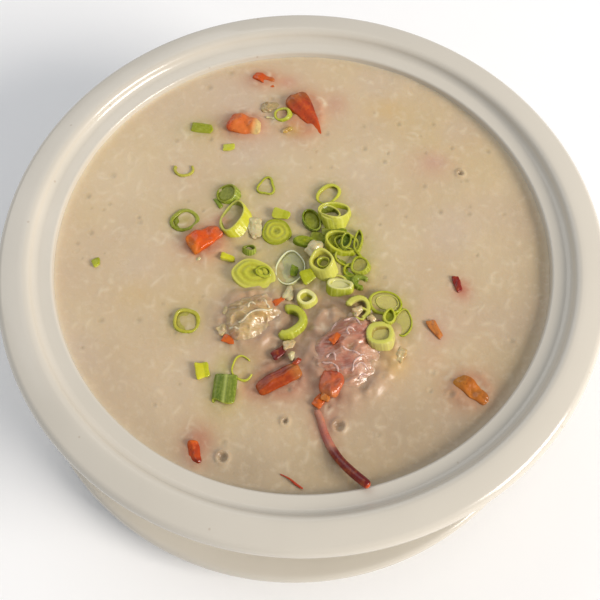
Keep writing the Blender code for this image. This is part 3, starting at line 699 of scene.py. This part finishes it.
stations = smooth_route(LEG_ROUTE + np.array([BOWL_AXIS, 0, CONGEE_LEVEL, 0]), LEG_LINES)
points, faces = tube(stations, LEG_AROUND)
along = np.repeat(np.linspace(0, 1, LEG_LINES), LEG_AROUND)
around = np.tile(np.linspace(0, 2 * np.pi, LEG_AROUND, endpoint=False), LEG_LINES)
tint = np.zeros(points.shape) + linear("AC745E")[:3]
tint = towards(tint, "A0504A", 0.7 * np.exp(-(((along - 0.32) / 0.1) ** 2)))
tint = towards(tint, "640C0A", ((along - 0.42) / 0.08).clip(0, 1))
tint = towards(tint, "8C2A18", 0.5 * np.cos(around).clip(0) * (along > 0.45))
tint = towards(tint, "4E0C0E", 0.6 * (-np.cos(around)).clip(0) * (along > 0.45))
tint = towards(tint, "C8501E", ((along - 0.94) / 0.05).clip(0, 1))
leg = make_piece("leg_joint", points, faces, boiled_shell, tint)
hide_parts("leg")

# ---------------------------------------------------------------------------------------------------------
# Broken bits: crumbs of shell and flesh too small to name, which came away when the lobster was shelled and
# lie on the congee or on the flesh. Each kind is one mesh.
# ---------------------------------------------------------------------------------------------------------
# Tones of the bits
CRUMB = {"orange": "BC5612", "red": "9C3610", "wine": "7E1A0E", "dark": "68180E", "tan": "B87030",
         "white": "C4B884", "cream": "BEA674", "gold": "B6903C", "grey": "A68E5C"}  # fmt: skip
# Right and back from the bowl's axis, height over the congee, then length, width, height, turn and tones
SHELL_BITS = (
    (6.5, -61, 0.5, 5.5, 4, 3, 60, "orange red"), (58.5, -14, 0, 6.5, 3, 2.5, -76, "wine red"),
    (49, -32.5, 0, 8, 3.5, 2.5, -58, "tan wine"), (-8, -43, 1, 6.5, 3.5, 3, 40, "dark wine"),
    (-8.5, -22.5, 1.5, 5, 2.5, 2, 40, "orange red"), (-13.5, -29.5, 2, 5.5, 2, 1.5, 38, "tan orange"),
    (-26.5, -38, 1, 4.5, 3.5, 2, -20, "orange red"), (9, -59, 1.5, 5.5, 3.5, 3, 74, "tan orange"),
    (12, -38.5, 4.5, 5, 3, 2, 50, "orange red"), (-13.5, 79, 0, 2, 1.5, 1.2, 0, "orange red"),
    (-1.5, -47, 2, 3.5, 2, 2, 50, "red dark"), (65, -60.5, 0.5, 3, 2, 1.5, 20, "tan orange"),
)  # fmt: skip
PALE_BITS = (
    (-18.5, 9.5, 0.5, 9.5, 6.5, 3.5, -76, "white grey"), (4.5, -0.5, 2, 8, 6.5, 3.5, 62, "white grey"),
    (-5, -19.5, 1.5, 6.5, 4, 3, 78, "white grey"), (-4.5, -40, 2, 5, 3.5, 2.5, 30, "cream grey"),
    (-14, 68, 0, 8.5, 6, 3, 10, "grey grey"), (-3.5, -44.5, 2, 3.5, 2.5, 2, 60, "white cream"),
    (35.5, -43.5, 1, 7, 4.5, 2.5, 60, "cream gold"), (-27, -27, 1, 5, 4.5, 2.5, 0, "cream grey"),
    (-28.5, -33.5, 1, 6, 4.5, 2.5, 40, "cream grey"), (-12.5, 62, 0.5, 7, 1.3, 1, -6, "white cream"),
    (-6.5, 56, 0.5, 5, 2, 1.5, 30, "gold gold"), (20.5, -27.5, 4, 4.5, 3.5, 2, 30, "cream grey"),
    (25.5, -30.5, 4, 4, 3, 2, -30, "cream grey"), (-39.5, -4, 0, 3, 1.5, 1.2, 30, "white cream"),
)  # fmt: skip
THREAD = ((-6.7, -87.0, 0.3, 0.2), (-3.6, -88.6, 0.7, 0.3), (-1.2, -90.6, 0.8, 0.45), (1.1, -92.1, 0.9, 0.3))

for bits, square, rough, material, name, slot in (
    (SHELL_BITS, 0.3, 0.2, boiled_shell, "shell_bits", "lobster_shell"),
    (PALE_BITS, 0.0, 0.5, cooked_flesh, "flesh_bits", "lobster_flesh"),
):
    parts = []
    for number, (right, back, level, *size, turn, tones) in enumerate(bits):
        colour, edge = (CRUMB[tone] for tone in tones.split())
        points, unit, faces = lump(size, square, 0.8, 0.12, 60, 84)
        grain = soft_noise(points[:, 0] + 7 * number, points[:, 1] + points[:, 2], 1.3, 51)
        points += rough * grain[:, None] * unit
        tint = np.zeros(points.shape) + linear(colour)[:3]
        tint = towards(tint, edge, (0.5 - unit[:, 2]) + 0.5 * grain.clip(0))
        points = turned_by(points, turn, (0, 0)) + np.array((BOWL_AXIS + right, back, CONGEE_LEVEL + level))
        parts.append((points, faces, tint))
    if bits is SHELL_BITS:
        route = smooth_route(np.array(THREAD) + np.array([BOWL_AXIS, 0, CONGEE_LEVEL, 0]), 50)
        points, faces = tube(route, 12)
        parts.append((points, faces, np.zeros(points.shape) + linear("A8321A")[:3]))
    points, faces, tint = joined(parts)
    make_piece(name, points, faces, material, tint)

# ---------------------------------------------------------------------------------------------------------
# Scallion: rings and tubes sliced across hollow green leaves, and thicker slices cut lower down through
# several nested leaf bases. Scattered on last, raw, they sit in the congee with their cut rims up.
# ---------------------------------------------------------------------------------------------------------
# Sizes in mm and degrees as in the frame; colours of outer skin, cut rim and inside. lean shifts the top
# from the bottom, film is a skin of broth across the hole (its level from -1 to 1, and colour), and nested
# are inner leaves: place right and back, part of the outer width and depth, wall and colours.
# Tones of scallion, from the dark upper leaf to the white base. shade is a dark green used as painted shade:
# inside holes, on the dark film down tube_small and at the heart of slice_layered
LEAF = {"deep": "566A04", "green": "6A7C08", "shade": "5C6210", "moss": "7C8218", "olive": "8C900E",
        "lime": "9EA216", "straw": "A69E30", "yellow": "B4B436", "gold": "C4BE24", "pale": "C4C058",
        "cream": "D4CE8C", "milk": "E2E2C0", "glass": "B2AF80", "broth": "A2984A", "soaked": "B8AC64",
        "brown": "92783C"}  # fmt: skip
CUT_RINGS = {
    "tube_back": dict(across=(8.6, 7.6), wall=0.9, tall=4, turn=25, tilt=(-8, -14), lean=(-1.2, 0.9),
                      film=(0.8, "moss"), tones="green moss moss"),
    "ring_three_cornered": dict(across=(7.4, 6.4), wall=0.8, tall=1.8, turn=80, corners=(3, 0.14),
                                tones="olive lime straw"),
    "ring_long": dict(across=(9.6, 15.8), wall=1.1, tall=4, turn=-22, tilt=(0, -16), lean=(-3.4, 1.4),
                      film=(-0.5, "brown"), tones="gold pale moss"),
    # tube_small's dark film is painted shade down its hole
    "tube_small": dict(across=(4.8, 4), wall=0.8, tall=3.6, turn=0, tilt=(-22, 0), lean=(0, 1.4),
                       film=(0.2, "shade"), tones="green moss deep"),
    "ring_clear": dict(across=(10.4, 13.6), wall=0.7, tall=2.2, turn=-12, tilt=(0, -5),
                       film=(0.5, "glass"), tones="glass milk glass"),
    "ring_slender": dict(across=(10.2, 7.4), wall=1.1, tall=2.4, turn=38, tilt=(6, -6), lean=(-1.2, 0.4),
                         film=(0, "broth"), tones="yellow yellow straw"),
    "tube_thick": dict(across=(12.2, 9.4), wall=1, tall=6.2, turn=20, tilt=(-16, 14), lean=(-1.2, 2.2),
                       film=(-0.3, "moss"), tones="yellow pale lime",
                       nested=((-1.9, -0.5, 0.66, 0.9, 1, "lime pale shade"),)),
    "ring_wide": dict(across=(12.2, 9.4), wall=1.2, tall=4, turn=-24, tilt=(-6, 10), lean=(-1.4, 1.2),
                      film=(0.3, "olive"), tones="lime yellow olive",
                      nested=((1.3, 0, 0.66, 0.78, 0.6, "olive lime green"),)),
    "tube_pale": dict(across=(9.4, 10), wall=1.5, tall=7.4, turn=0, tilt=(10, -8), lean=(-1.4, 5.4),
                      film=(0.5, "broth"), tones="pale pale straw",
                      nested=((0.6, -0.6, 0.5, 0.46, 0.6, "lime yellow moss"),)),
    "ring_thick": dict(across=(7, 6.8), wall=1, tall=3.4, turn=15, tilt=(0, -10), lean=(-0.8, 0.8),
                       film=(0.75, "broth"), tones="olive lime moss"),
    "curl_dark": dict(across=(6.4, 5.4), wall=1.7, tall=3.2, turn=-25, tilt=(-8, 4), mouth=90,
                      tones="deep green deep"),
    "ring_cut": dict(across=(9.2, 7.2), wall=1.7, tall=4.4, turn=-12, tilt=(-14, 0), lean=(-0.6, 3),
                     film=(0.8, "cream"), tones="lime cream pale"),
    "bulb_pale": dict(across=(6.8, 6.4), wall=1.7, tall=5.2, turn=20, tilt=(14, 6), lean=(-0.8, 4),
                      film=(0.3, "broth"), tones="pale cream straw"),
    "curl_wavy": dict(across=(11, 12), wall=2.9, tall=4, turn=172, tilt=(4, 8), mouth=130,
                      tones="lime yellow moss"),
    "curl_on_meat": dict(across=(8.6, 8.4), wall=1.8, tall=3, turn=-135, tilt=(-6, 6), mouth=120,
                         tones="olive pale soaked"),
    "ring_green_edge": dict(across=(11.4, 8.8), wall=1, tall=3.2, turn=-8, tilt=(0, 6),
                            film=(0.7, "soaked"), tones="lime lime broth",
                            nested=((0.6, 0.3, 0.62, 0.66, 0.35, "soaked pale soaked"),)),
    "ring_film": dict(across=(6.6, 10.2), wall=0.7, tall=2.2, turn=-8, film=(0.6, "soaked"),
                      tones="olive lime broth"),
    "ring_folded": dict(across=(9.6, 9), wall=2.2, tall=4, turn=30, tilt=(-8, 10), lean=(-0.8, 1),
                        film=(0.5, "soaked"), tones="soaked pale brown"),
    "ring_sunk": dict(across=(8.6, 8.8), wall=1.2, tall=2.6, turn=0, tilt=(0, 6), film=(0.4, "broth"),
                      tones="lime straw straw"),
    "ring_by_claw": dict(across=(7, 6.2), wall=1.2, tall=2.8, turn=30, tilt=(-6, -8), lean=(-0.6, 1),
                         tones="lime yellow brown"),
    "tube_lying_back": dict(across=(4.8, 3), wall=0.8, tall=9.2, turn=82, tilt=(90, 0), waist=0.3,
                            tones="olive lime shade"),
    "tube_lying_front": dict(across=(8.6, 4.6), wall=1, tall=11.6, turn=-4, tilt=(90, 0), waist=0.35,
                             tones="deep olive deep"),
}  # fmt: skip
# Small cuts: right and back from the bowl's axis, height over the congee, width, depth, wall, tall, turn,
# tilt, mouth and tones. A wall of 0 makes a solid chip.
SMALL_CUTS = (
    (-8.5, 15, 1.5, 7, 4.5, 0, 1.5, -16, (10, 0), 0, "lime yellow lime"),
    (16.5, 2.5, 2.5, 4, 7, 0.9, 3, -14, (0, 14), 0, "green olive deep"),
    (21.5, 3, 1, 3.5, 9.5, 0.9, 3, -10, (0, -10), 0, "olive lime moss"),
    (3.5, 12.5, 1, 6.5, 9.5, 0.6, 2.5, 18, (0, 0), 0, "deep green moss"),
    (2, -12.5, 2.5, 5.5, 6, 0, 2.5, 30, (16, 0), 0, "olive lime olive"),
    (-3, -10, 1.5, 3, 5.5, 0, 1.5, -8, (0, 0), 0, "deep green deep"),
    (-28.5, -4, 0.5, 6.5, 4, 0, 2.5, -14, (-14, 10), 0, "gold gold gold"),
    (-35.5, -50, 0.5, 5.5, 7.5, 0, 2.5, 14, (0, 8), 0, "lime gold lime"),
    (-21, -49, 0, 8, 9, 0.7, 2, 10, (0, 0), 70, "yellow yellow straw"),
    (32, -29.5, 3.5, 4.5, 6, 1, 2.5, -10, (0, 0), 0, "lime yellow olive"),
    (-30.5, 47.5, 0, 5.5, 3.5, 0, 1.5, 8, (0, 0), 0, "yellow yellow yellow"),
    (-78.5, -6.5, 0, 3.5, 4, 0, 2, 30, (-10, 0), 0, "olive lime olive"),
    (-48, 36.5, 0, 7, 8, 1.2, 1.5, 90, (0, 0), 120, "straw straw straw"),
    (-46, 12.5, -0.2, 10.5, 10, 1.6, 1.5, 0, (0, 4), 0, "moss moss moss"),
    (-14.5, -11, 2.5, 6, 4.5, 1, 1.5, -6, (8, 6), 0, "olive lime moss"),
    (12.5, 7.5, 1, 10.5, 3.5, 0, 2, 4, (0, 0), 0, "green moss green"),
    (-33, 20.5, 0, 2.5, 5.5, 0, 2, 30, (0, 0), 0, "green green green"),
    (18.5, -12, 0.5, 6.5, 3.5, 0, 2, -24, (0, 0), 0, "deep green deep"),
    (17.5, -3.5, 0.5, 10.5, 8, 1, 2.5, -16, (4, 8), 0, "olive lime moss"),
    (19, -9, 0.5, 7, 6, 1.1, 2, 20, (0, 0), 0, "olive lime olive"),
    (9.5, -4, 0.5, 9.5, 6.5, 0, 2.5, 40, (0, 6), 0, "moss broth moss"),
    (7, 5, 0.5, 9, 5, 0, 2, -10, (4, 0), 0, "green moss green"),
    (13, -14, 0.5, 7.5, 5.5, 1.2, 2, 10, (0, 0), 0, "broth pale broth"),
    (22, -28.5, 3.5, 6, 5, 0.9, 2, -20, (0, 0), 110, "straw pale straw"),
)


def leaf_colours(tones):
    """The hex colours of a line of tone names."""
    return [LEAF[tone] for tone in tones.split()]


def cut_ring(across, wall, tall, corners=(0, 0), waist=0, mouth=0, lean=(0, 0), seed=0, around=132, over=28):
    """A ring cut from a hollow leaf. Its outline is an ellipse whose radius swells by a cosine for corners,
    by three uneven low waves, and is pinched by sin² at the waist. The wall follows inwards along the
    outline's normal, and its section is a circle drawn out to a rounded box. An open ring's ends round off.
    Returns points, faces, and for each point the section's cosine (-1 outside) and sine (1 on top)."""
    rng = np.random.default_rng(seed)
    half = math.radians(mouth) / 2
    t = np.linspace(half, 2 * np.pi - half, around, endpoint=bool(mouth))
    swell = 1 + corners[1] * np.cos(corners[0] * t)
    for k in (2, 3, 4):
        swell += rng.normal(0, 0.06 / k) * np.cos(k * t + rng.uniform(0, 6.28))
    ox = across[0] / 2 * np.cos(t) * swell
    oy = across[1] / 2 * np.sin(t) * (1 - waist * np.sin(t) ** 2) * swell
    step = (np.gradient(ox), np.gradient(oy)) if mouth else (
        np.roll(ox, -1) - np.roll(ox, 1),
        np.roll(oy, -1) - np.roll(oy, 1),
    )
    size = np.hypot(*step)
    nx, ny = -step[1] / size, step[0] / size
    s = np.linspace(0, 2 * np.pi, over, endpoint=False)
    c, d = signed_power(np.cos(s), 0.5)[None], signed_power(np.sin(s), 0.6)[None]
    to_end = (np.minimum(t - t[0], t[-1] - t) * across[0] / wall).clip(0, 1)
    end = np.sqrt(1 - (1 - to_end) ** 2) if mouth else np.ones(around)
    thick = wall * (1 + 0.16 * np.cos(t + seed) + 0.08 * np.cos(2 * t + seed * 2))
    inward = thick[:, None] / 2 * (1 + c * end[:, None])
    uneven = 0.05 * tall * np.cos(t * 2 + seed * 1.7) + 0.02 * tall * np.cos(t * 3 + seed)
    rib = 0.03 * np.cos(t * 26)[:, None] * (c < 0)
    x = ox[:, None] + nx[:, None] * (inward + rib) + lean[0] * d / 2
    y = oy[:, None] + ny[:, None] * (inward + rib) + lean[1] * d / 2
    z = tall / 2 * d * end[:, None] + uneven[:, None] * (d > 0.3)
    points = np.stack([x, y, z], -1).reshape(-1, 3)
    c, d = (np.tile(part, (around, 1)).ravel() for part in (c, d))
    return points, grid_quads(around, over, not mouth, True), c, d, np.repeat(t, over)


def leaf_tint(c, d, t, colours, seed, veins=0.34):
    """Colours of a cut ring: skin outside, with pale veins along it, rim on top with a line of skin along
    its outer edge, inside within. Each is mixed in by its place in the section, and drifts slowly round."""
    skin, rim, inside = colours
    tint = np.zeros((len(c), 3)) + linear(skin)[:3]
    tint = towards(tint, "DCDC74", veins * np.cos(t * 13 + 2 * np.sin(2 * t + seed)).clip(0) ** 3)
    tint = towards(tint, inside, ((c - 0.1) / 0.4).clip(0, 1))
    on_rim = ((d - 0.82) / 0.16).clip(0, 1) * ((c + 0.86) / 0.3).clip(0, 1)
    tint = towards(tint, rim, on_rim)
    drift = 0.5 + 0.5 * np.cos(t + seed * 2.3)
    tint = towards(tint, "DADA80", 0.12 * drift)
    return towards(tint, "5A7608", 0.12 * (1 - drift) * (1 - 0.6 * on_rim))


def film_disc(across, wall, tall, level, lean, colour, columns=60):
    """A closed thin skin across a ring's hole: an ellipse from its middle out, over its edge and back."""
    t = np.linspace(0, 2 * np.pi, columns, endpoint=False)[None]
    out = np.array([0, 0.35, 0.7, 1.0, 1.0, 0.5, 0])[:, None]
    drop = np.array([0.12, 0.1, 0.05, 0.0, 0.35, 0.35, 0.35])[:, None]
    x = (across[0] / 2 - wall * 0.6) * out * np.cos(t) + lean[0] * level / 2
    y = (across[1] / 2 - wall * 0.6) * out * np.sin(t) + lean[1] * level / 2
    points = np.stack([x, y, tall / 2 * level - drop + 0 * x], -1).reshape(-1, 3)
    return points, grid_quads(7, columns, ring_columns=True), np.zeros(points.shape) + linear(colour)[:3]


# Raw scallion: juicy green leaf, smooth and waxy outside, glassy where it was cut. Light glows through its
# thin walls. Cells show as a fine grain, drawn at 1.1 mm so that it can be seen, and veins as faint streaks.
raw_scallion, tree, shader = new_material(
    "raw_scallion",
    {"IOR": 1.36, "Coat Weight": 0.22, "Coat Roughness": 0.05, "Specular IOR Level": 0.25,
     "Subsurface Weight": 0.3, "Subsurface Radius": (0.0013, 0.0013, 0.0004), "Subsurface Scale": 1.0},
)  # fmt: skip
place = add(tree, "TexCoord", {}, {}).outputs["Object"]
painted = add(tree, "VertexColor", {"layer_name": "tint"}, {})
cells = pattern(tree, place, 1.1, 3.0, Roughness=0.6)
fresh = laid_over(tree, painted.outputs["Color"], "D8DA6A", ramp(tree, cells, 0.42, 0.74, 0.0, 0.2))
dress(tree, shader, fresh, ramp(tree, cells, 0, 1, 0.2, 0.42), relief(tree, cells, 0.2, 0.5))

RING_SPREAD, LYING_SPREAD, SLICE_SPREAD = 1.14, 0.94, 1.1  # level width of a leaf as a part of its solid's
for seed, (node, ring) in enumerate(CUT_RINGS.items()):
    sizes = ("across", "wall", "tall", "corners", "waist", "mouth", "lean")
    shape = {key: ring[key] for key in sizes if key in ring}
    points, faces, c, d, t = cut_ring(**shape, seed=seed)
    lying = "lying" in node
    tint = leaf_tint(c, d, t, leaf_colours(ring["tones"]), seed, 0.05 if lying else 0.34)
    if node == "tube_lying_front":
        # A fold runs along the top as a pale seam beside a dark strip
        for side in (0.5, 1.5):
            tint = towards(tint, "A8B060", 0.85 * np.exp(-(((t - side * np.pi) / 0.13) ** 2)) * (c < 0))
            tint = towards(tint, "3C5A02", 0.6 * np.exp(-(((t - side * np.pi - 0.5) / 0.3) ** 2)) * (c < 0))
    parts = [(points, faces, tint)]
    lean = ring.get("lean", (0, 0))
    if "film" in ring:
        level, tone = ring["film"]
        parts.append(film_disc(ring["across"], ring["wall"], ring["tall"], level, lean, LEAF[tone]))
    for right, back, wide, deep, wall, tones in ring.get("nested", ()):
        size = (ring["across"][0] * wide, ring["across"][1] * deep)
        tall = 0.86 * ring["tall"]
        points, faces, c, d, t = cut_ring(size, wall, tall, lean=lean, seed=seed + 40, around=90, over=20)
        inner_tint = leaf_tint(c, d, t, leaf_colours(tones), seed + 3)
        parts.append((points + np.array((right, back, 0.0)), faces, inner_tint))
    points, faces, tint = joined(parts)
    points = set_in_place(points, ring["turn"], ring.get("tilt", (0, 0)), node)
    points = fitted(points, node, LYING_SPREAD if lying else RING_SPREAD)
    ring_piece = make_piece(node + "_leaf", points, faces, raw_scallion, tint)
    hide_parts(node)

# Solid slices: leaf bases packed tight, so that the cut face shows one ring for each leaf
CUT_SLICES = {
    "slice_layered": dict(across=(10.8, 10.4), tall=2.6, turn=10, tilt=(3, 0), lean=(-0.4, 0.6), leaves=3,
                          tones="olive yellow straw shade"),
    "leaf_wedge": dict(across=(9.4, 4.4), tall=2.6, turn=-12, tilt=(0, 6), lean=(-0.4, 1.2), leaves=1,
                       tones="green olive green olive"),
    "slice_large": dict(across=(16.2, 11.6), tall=4.4, turn=-12, tilt=(8, 6), lean=(-2.6, 2.6), leaves=3,
                        tones="pale yellow straw moss"),
}  # fmt: skip


def cut_slice(across, tall, leaves, lean=(0, 0), rows=64, columns=120):
    """A closed slice: the top runs from the middle out, stepped by a cosine into rings, rolls over a rounded
    edge and returns below. Returns points, faces, distance from the middle from 0 to 1, side and angle."""
    s = np.linspace(0, 1, rows)[:, None]
    t = np.linspace(0, 2 * np.pi, columns, endpoint=False)[None]
    out = np.sin(np.pi * np.minimum(s, 1 - s))
    up = signed_power(np.cos(np.pi * s), 0.35)
    wobble = 1 + 0.03 * np.cos(3 * t + 1) + 0.02 * np.cos(5 * t + 2.2)
    x = across[0] / 2 * out * np.cos(t) * wobble + lean[0] * up / 2
    y = across[1] / 2 * out * np.sin(t) * wobble + lean[1] * up / 2
    groove = 0.15 * np.cos(2 * np.pi * leaves * out + 0.5 * np.sin(t)) - 0.4 * np.exp(-((out / 0.16) ** 2))
    z = tall / 2 * up + groove * (s < 0.46) * (leaves > 0) * np.ones_like(t)
    ones = np.ones_like(t)
    points = np.stack([x, y, z], -1).reshape(-1, 3)
    out, up, t = ((part * ones).ravel() for part in (out, up, t + 0 * s))
    return points, grid_quads(rows, columns, ring_columns=True), out, up, t


def slice_tint(out, up, t, colours, leaves):
    """Colours of a slice: skin round the side, then on the cut face pale and dark rings about the heart."""
    skin, pale, dark, heart = colours
    tint = np.zeros((len(out), 3)) + linear(skin)[:3]
    face = ((up - 0.75) / 0.2).clip(0, 1) * (1 - ((out - 0.95) / 0.04).clip(0, 1))
    tint = towards(tint, pale, face)
    tint = towards(tint, dark, face * 0.65 * (0.5 - 0.5 * np.cos(2 * np.pi * leaves * out + 0.5 * np.sin(t))))
    return towards(tint, heart, 0.8 * face * np.exp(-((out / 0.15) ** 2)))


for node, cut in CUT_SLICES.items():
    points, faces, out, up, t = cut_slice(cut["across"], cut["tall"], cut["leaves"], cut["lean"])
    points = set_in_place(points, cut["turn"], cut["tilt"], node)
    tint = slice_tint(out, up, t, leaf_colours(cut["tones"]), cut["leaves"])
    slice_piece = make_piece(node + "_leaf", fitted(points, node, SLICE_SPREAD), faces, raw_scallion, tint)
    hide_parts(node)

parts = []
for seed, (right, back, level, wide, deep, wall, tall, turn, tilt, mouth, tones) in enumerate(SMALL_CUTS):
    colours = leaf_colours(tones)
    if wall:
        across = (1.06 * wide, 1.06 * deep)
        points, faces, c, d, t = cut_ring(across, wall, tall, mouth=mouth, seed=seed, around=72, over=18)
        tint = leaf_tint(c, d, t, colours, seed)
        if not mouth:
            film = film_disc((wide, deep), wall, tall, 0.1, (0, 0), colours[2])
            points, faces, tint = joined([(points, faces, tint), film])
    else:
        points, unit, faces = lump((0.94 * wide, 0.94 * deep, tall), 0.5, 0.8, 0.04, 44, 64)
        uneven = soft_noise(points[:, 0] + 9 * seed, points[:, 1], 2.2, 61)[:, None]
        points[:, :2] += 0.45 * unit[:, :2] * uneven
        tint = np.zeros(points.shape) + linear(colours[1])[:3]
        tint = towards(tint, "D2D06A", 0.6 * ((0.55 - unit[:, 2]) / 0.3).clip(0, 1) * (unit[:, 1] < 0))
        tint = towards(tint, colours[0], 0.7 * (unit[:, 0] > 0.2))
    points = turned_by(points, turn, tilt) + np.array((BOWL_AXIS + right, back, CONGEE_LEVEL + level))
    parts.append((points, faces, tint))
points, faces, tint = joined(parts)
small_cuts = make_piece("scallion_bits", points, faces, raw_scallion, tint)

# ---------------------------------------------------------------------------------------------------------
# Studio: a wide pale sheet under the plate, a large soft light low at the near right, a bright room all
# round, and the camera above the near side.
# ---------------------------------------------------------------------------------------------------------
sheet_mesh = bpy.data.meshes.new("table_sheet")
sheet_mesh.from_pydata([(-4, -4, 0), (4, -4, 0), (4, 4, 0), (-4, 4, 0)], [], [(0, 1, 2, 3)])
sheet_look = {"Base Color": linear("F8F8F8"), "Roughness": 0.9}
sheet_paper, tree, shader = new_material("matt_white_paper", sheet_look)
sheet_mesh.materials.append(sheet_paper)
table_sheet = bpy.data.objects.new("table_sheet", sheet_mesh)
bpy.context.scene.collection.objects.link(table_sheet)

room = bpy.data.worlds.new("bright_room")
bpy.context.scene.world = room
room.use_nodes = True
room.node_tree.nodes["Background"].inputs["Color"].default_value = linear("F2F5FA")
room.node_tree.nodes["Background"].inputs["Strength"].default_value = 0.50
bpy.context.scene.view_settings.view_transform = "Standard"

window = bpy.data.lights.new("window", "AREA")
window.shape = "RECTANGLE"
window.size, window.size_y = 0.90, 0.90
window.energy = 52.0
window.color = linear("FFF8F0")[:3]
window_object = bpy.data.objects.new("window", window)
# To the right, turned towards the front, and low: its distance times the cosines and sines of its angles
WINDOW_AWAY, WINDOW_TURN, WINDOW_RISE = 2.2, math.radians(-24), math.radians(28)
level = WINDOW_AWAY * math.cos(WINDOW_RISE)
window_object.location = Vector(
    (level * math.cos(WINDOW_TURN), level * math.sin(WINDOW_TURN), 0.08 + WINDOW_AWAY * math.sin(WINDOW_RISE))
)
window_object.rotation_mode = "QUATERNION"
window_object.rotation_quaternion = (Vector((0, 0, 0.07)) - window_object.location).to_track_quat("-Z", "Y")
bpy.context.scene.collection.objects.link(window_object)

sky = bpy.data.lights.new("skylight", "AREA")
sky.shape = "RECTANGLE"
sky.size, sky.size_y = 2.4, 1.6
sky.energy = 16.0
sky_object = bpy.data.objects.new("skylight", sky)
sky_object.location = Vector((-1.1, 1.5, 1.9))
sky_object.rotation_mode = "QUATERNION"
sky_object.rotation_quaternion = (Vector((0, 0, 0.07)) - sky_object.location).to_track_quat("-Z", "Y")
bpy.context.scene.collection.objects.link(sky_object)

camera_data = bpy.data.cameras.new("camera")
camera_data.lens = 50.7
camera_data.sensor_width = 36
camera_data.clip_start = 0.01
camera = bpy.data.objects.new("camera", camera_data)
camera.location = Vector((0.00155, -0.1570, 0.3580))
camera.rotation_mode = "QUATERNION"
aim = Vector((0.00092, -0.02305, 0.0768)) - camera.location
camera.rotation_quaternion = aim.to_track_quat("-Z", "Y") @ Quaternion((0, 0, 1), math.radians(0.37))
bpy.context.scene.collection.objects.link(camera)
bpy.context.scene.camera = camera
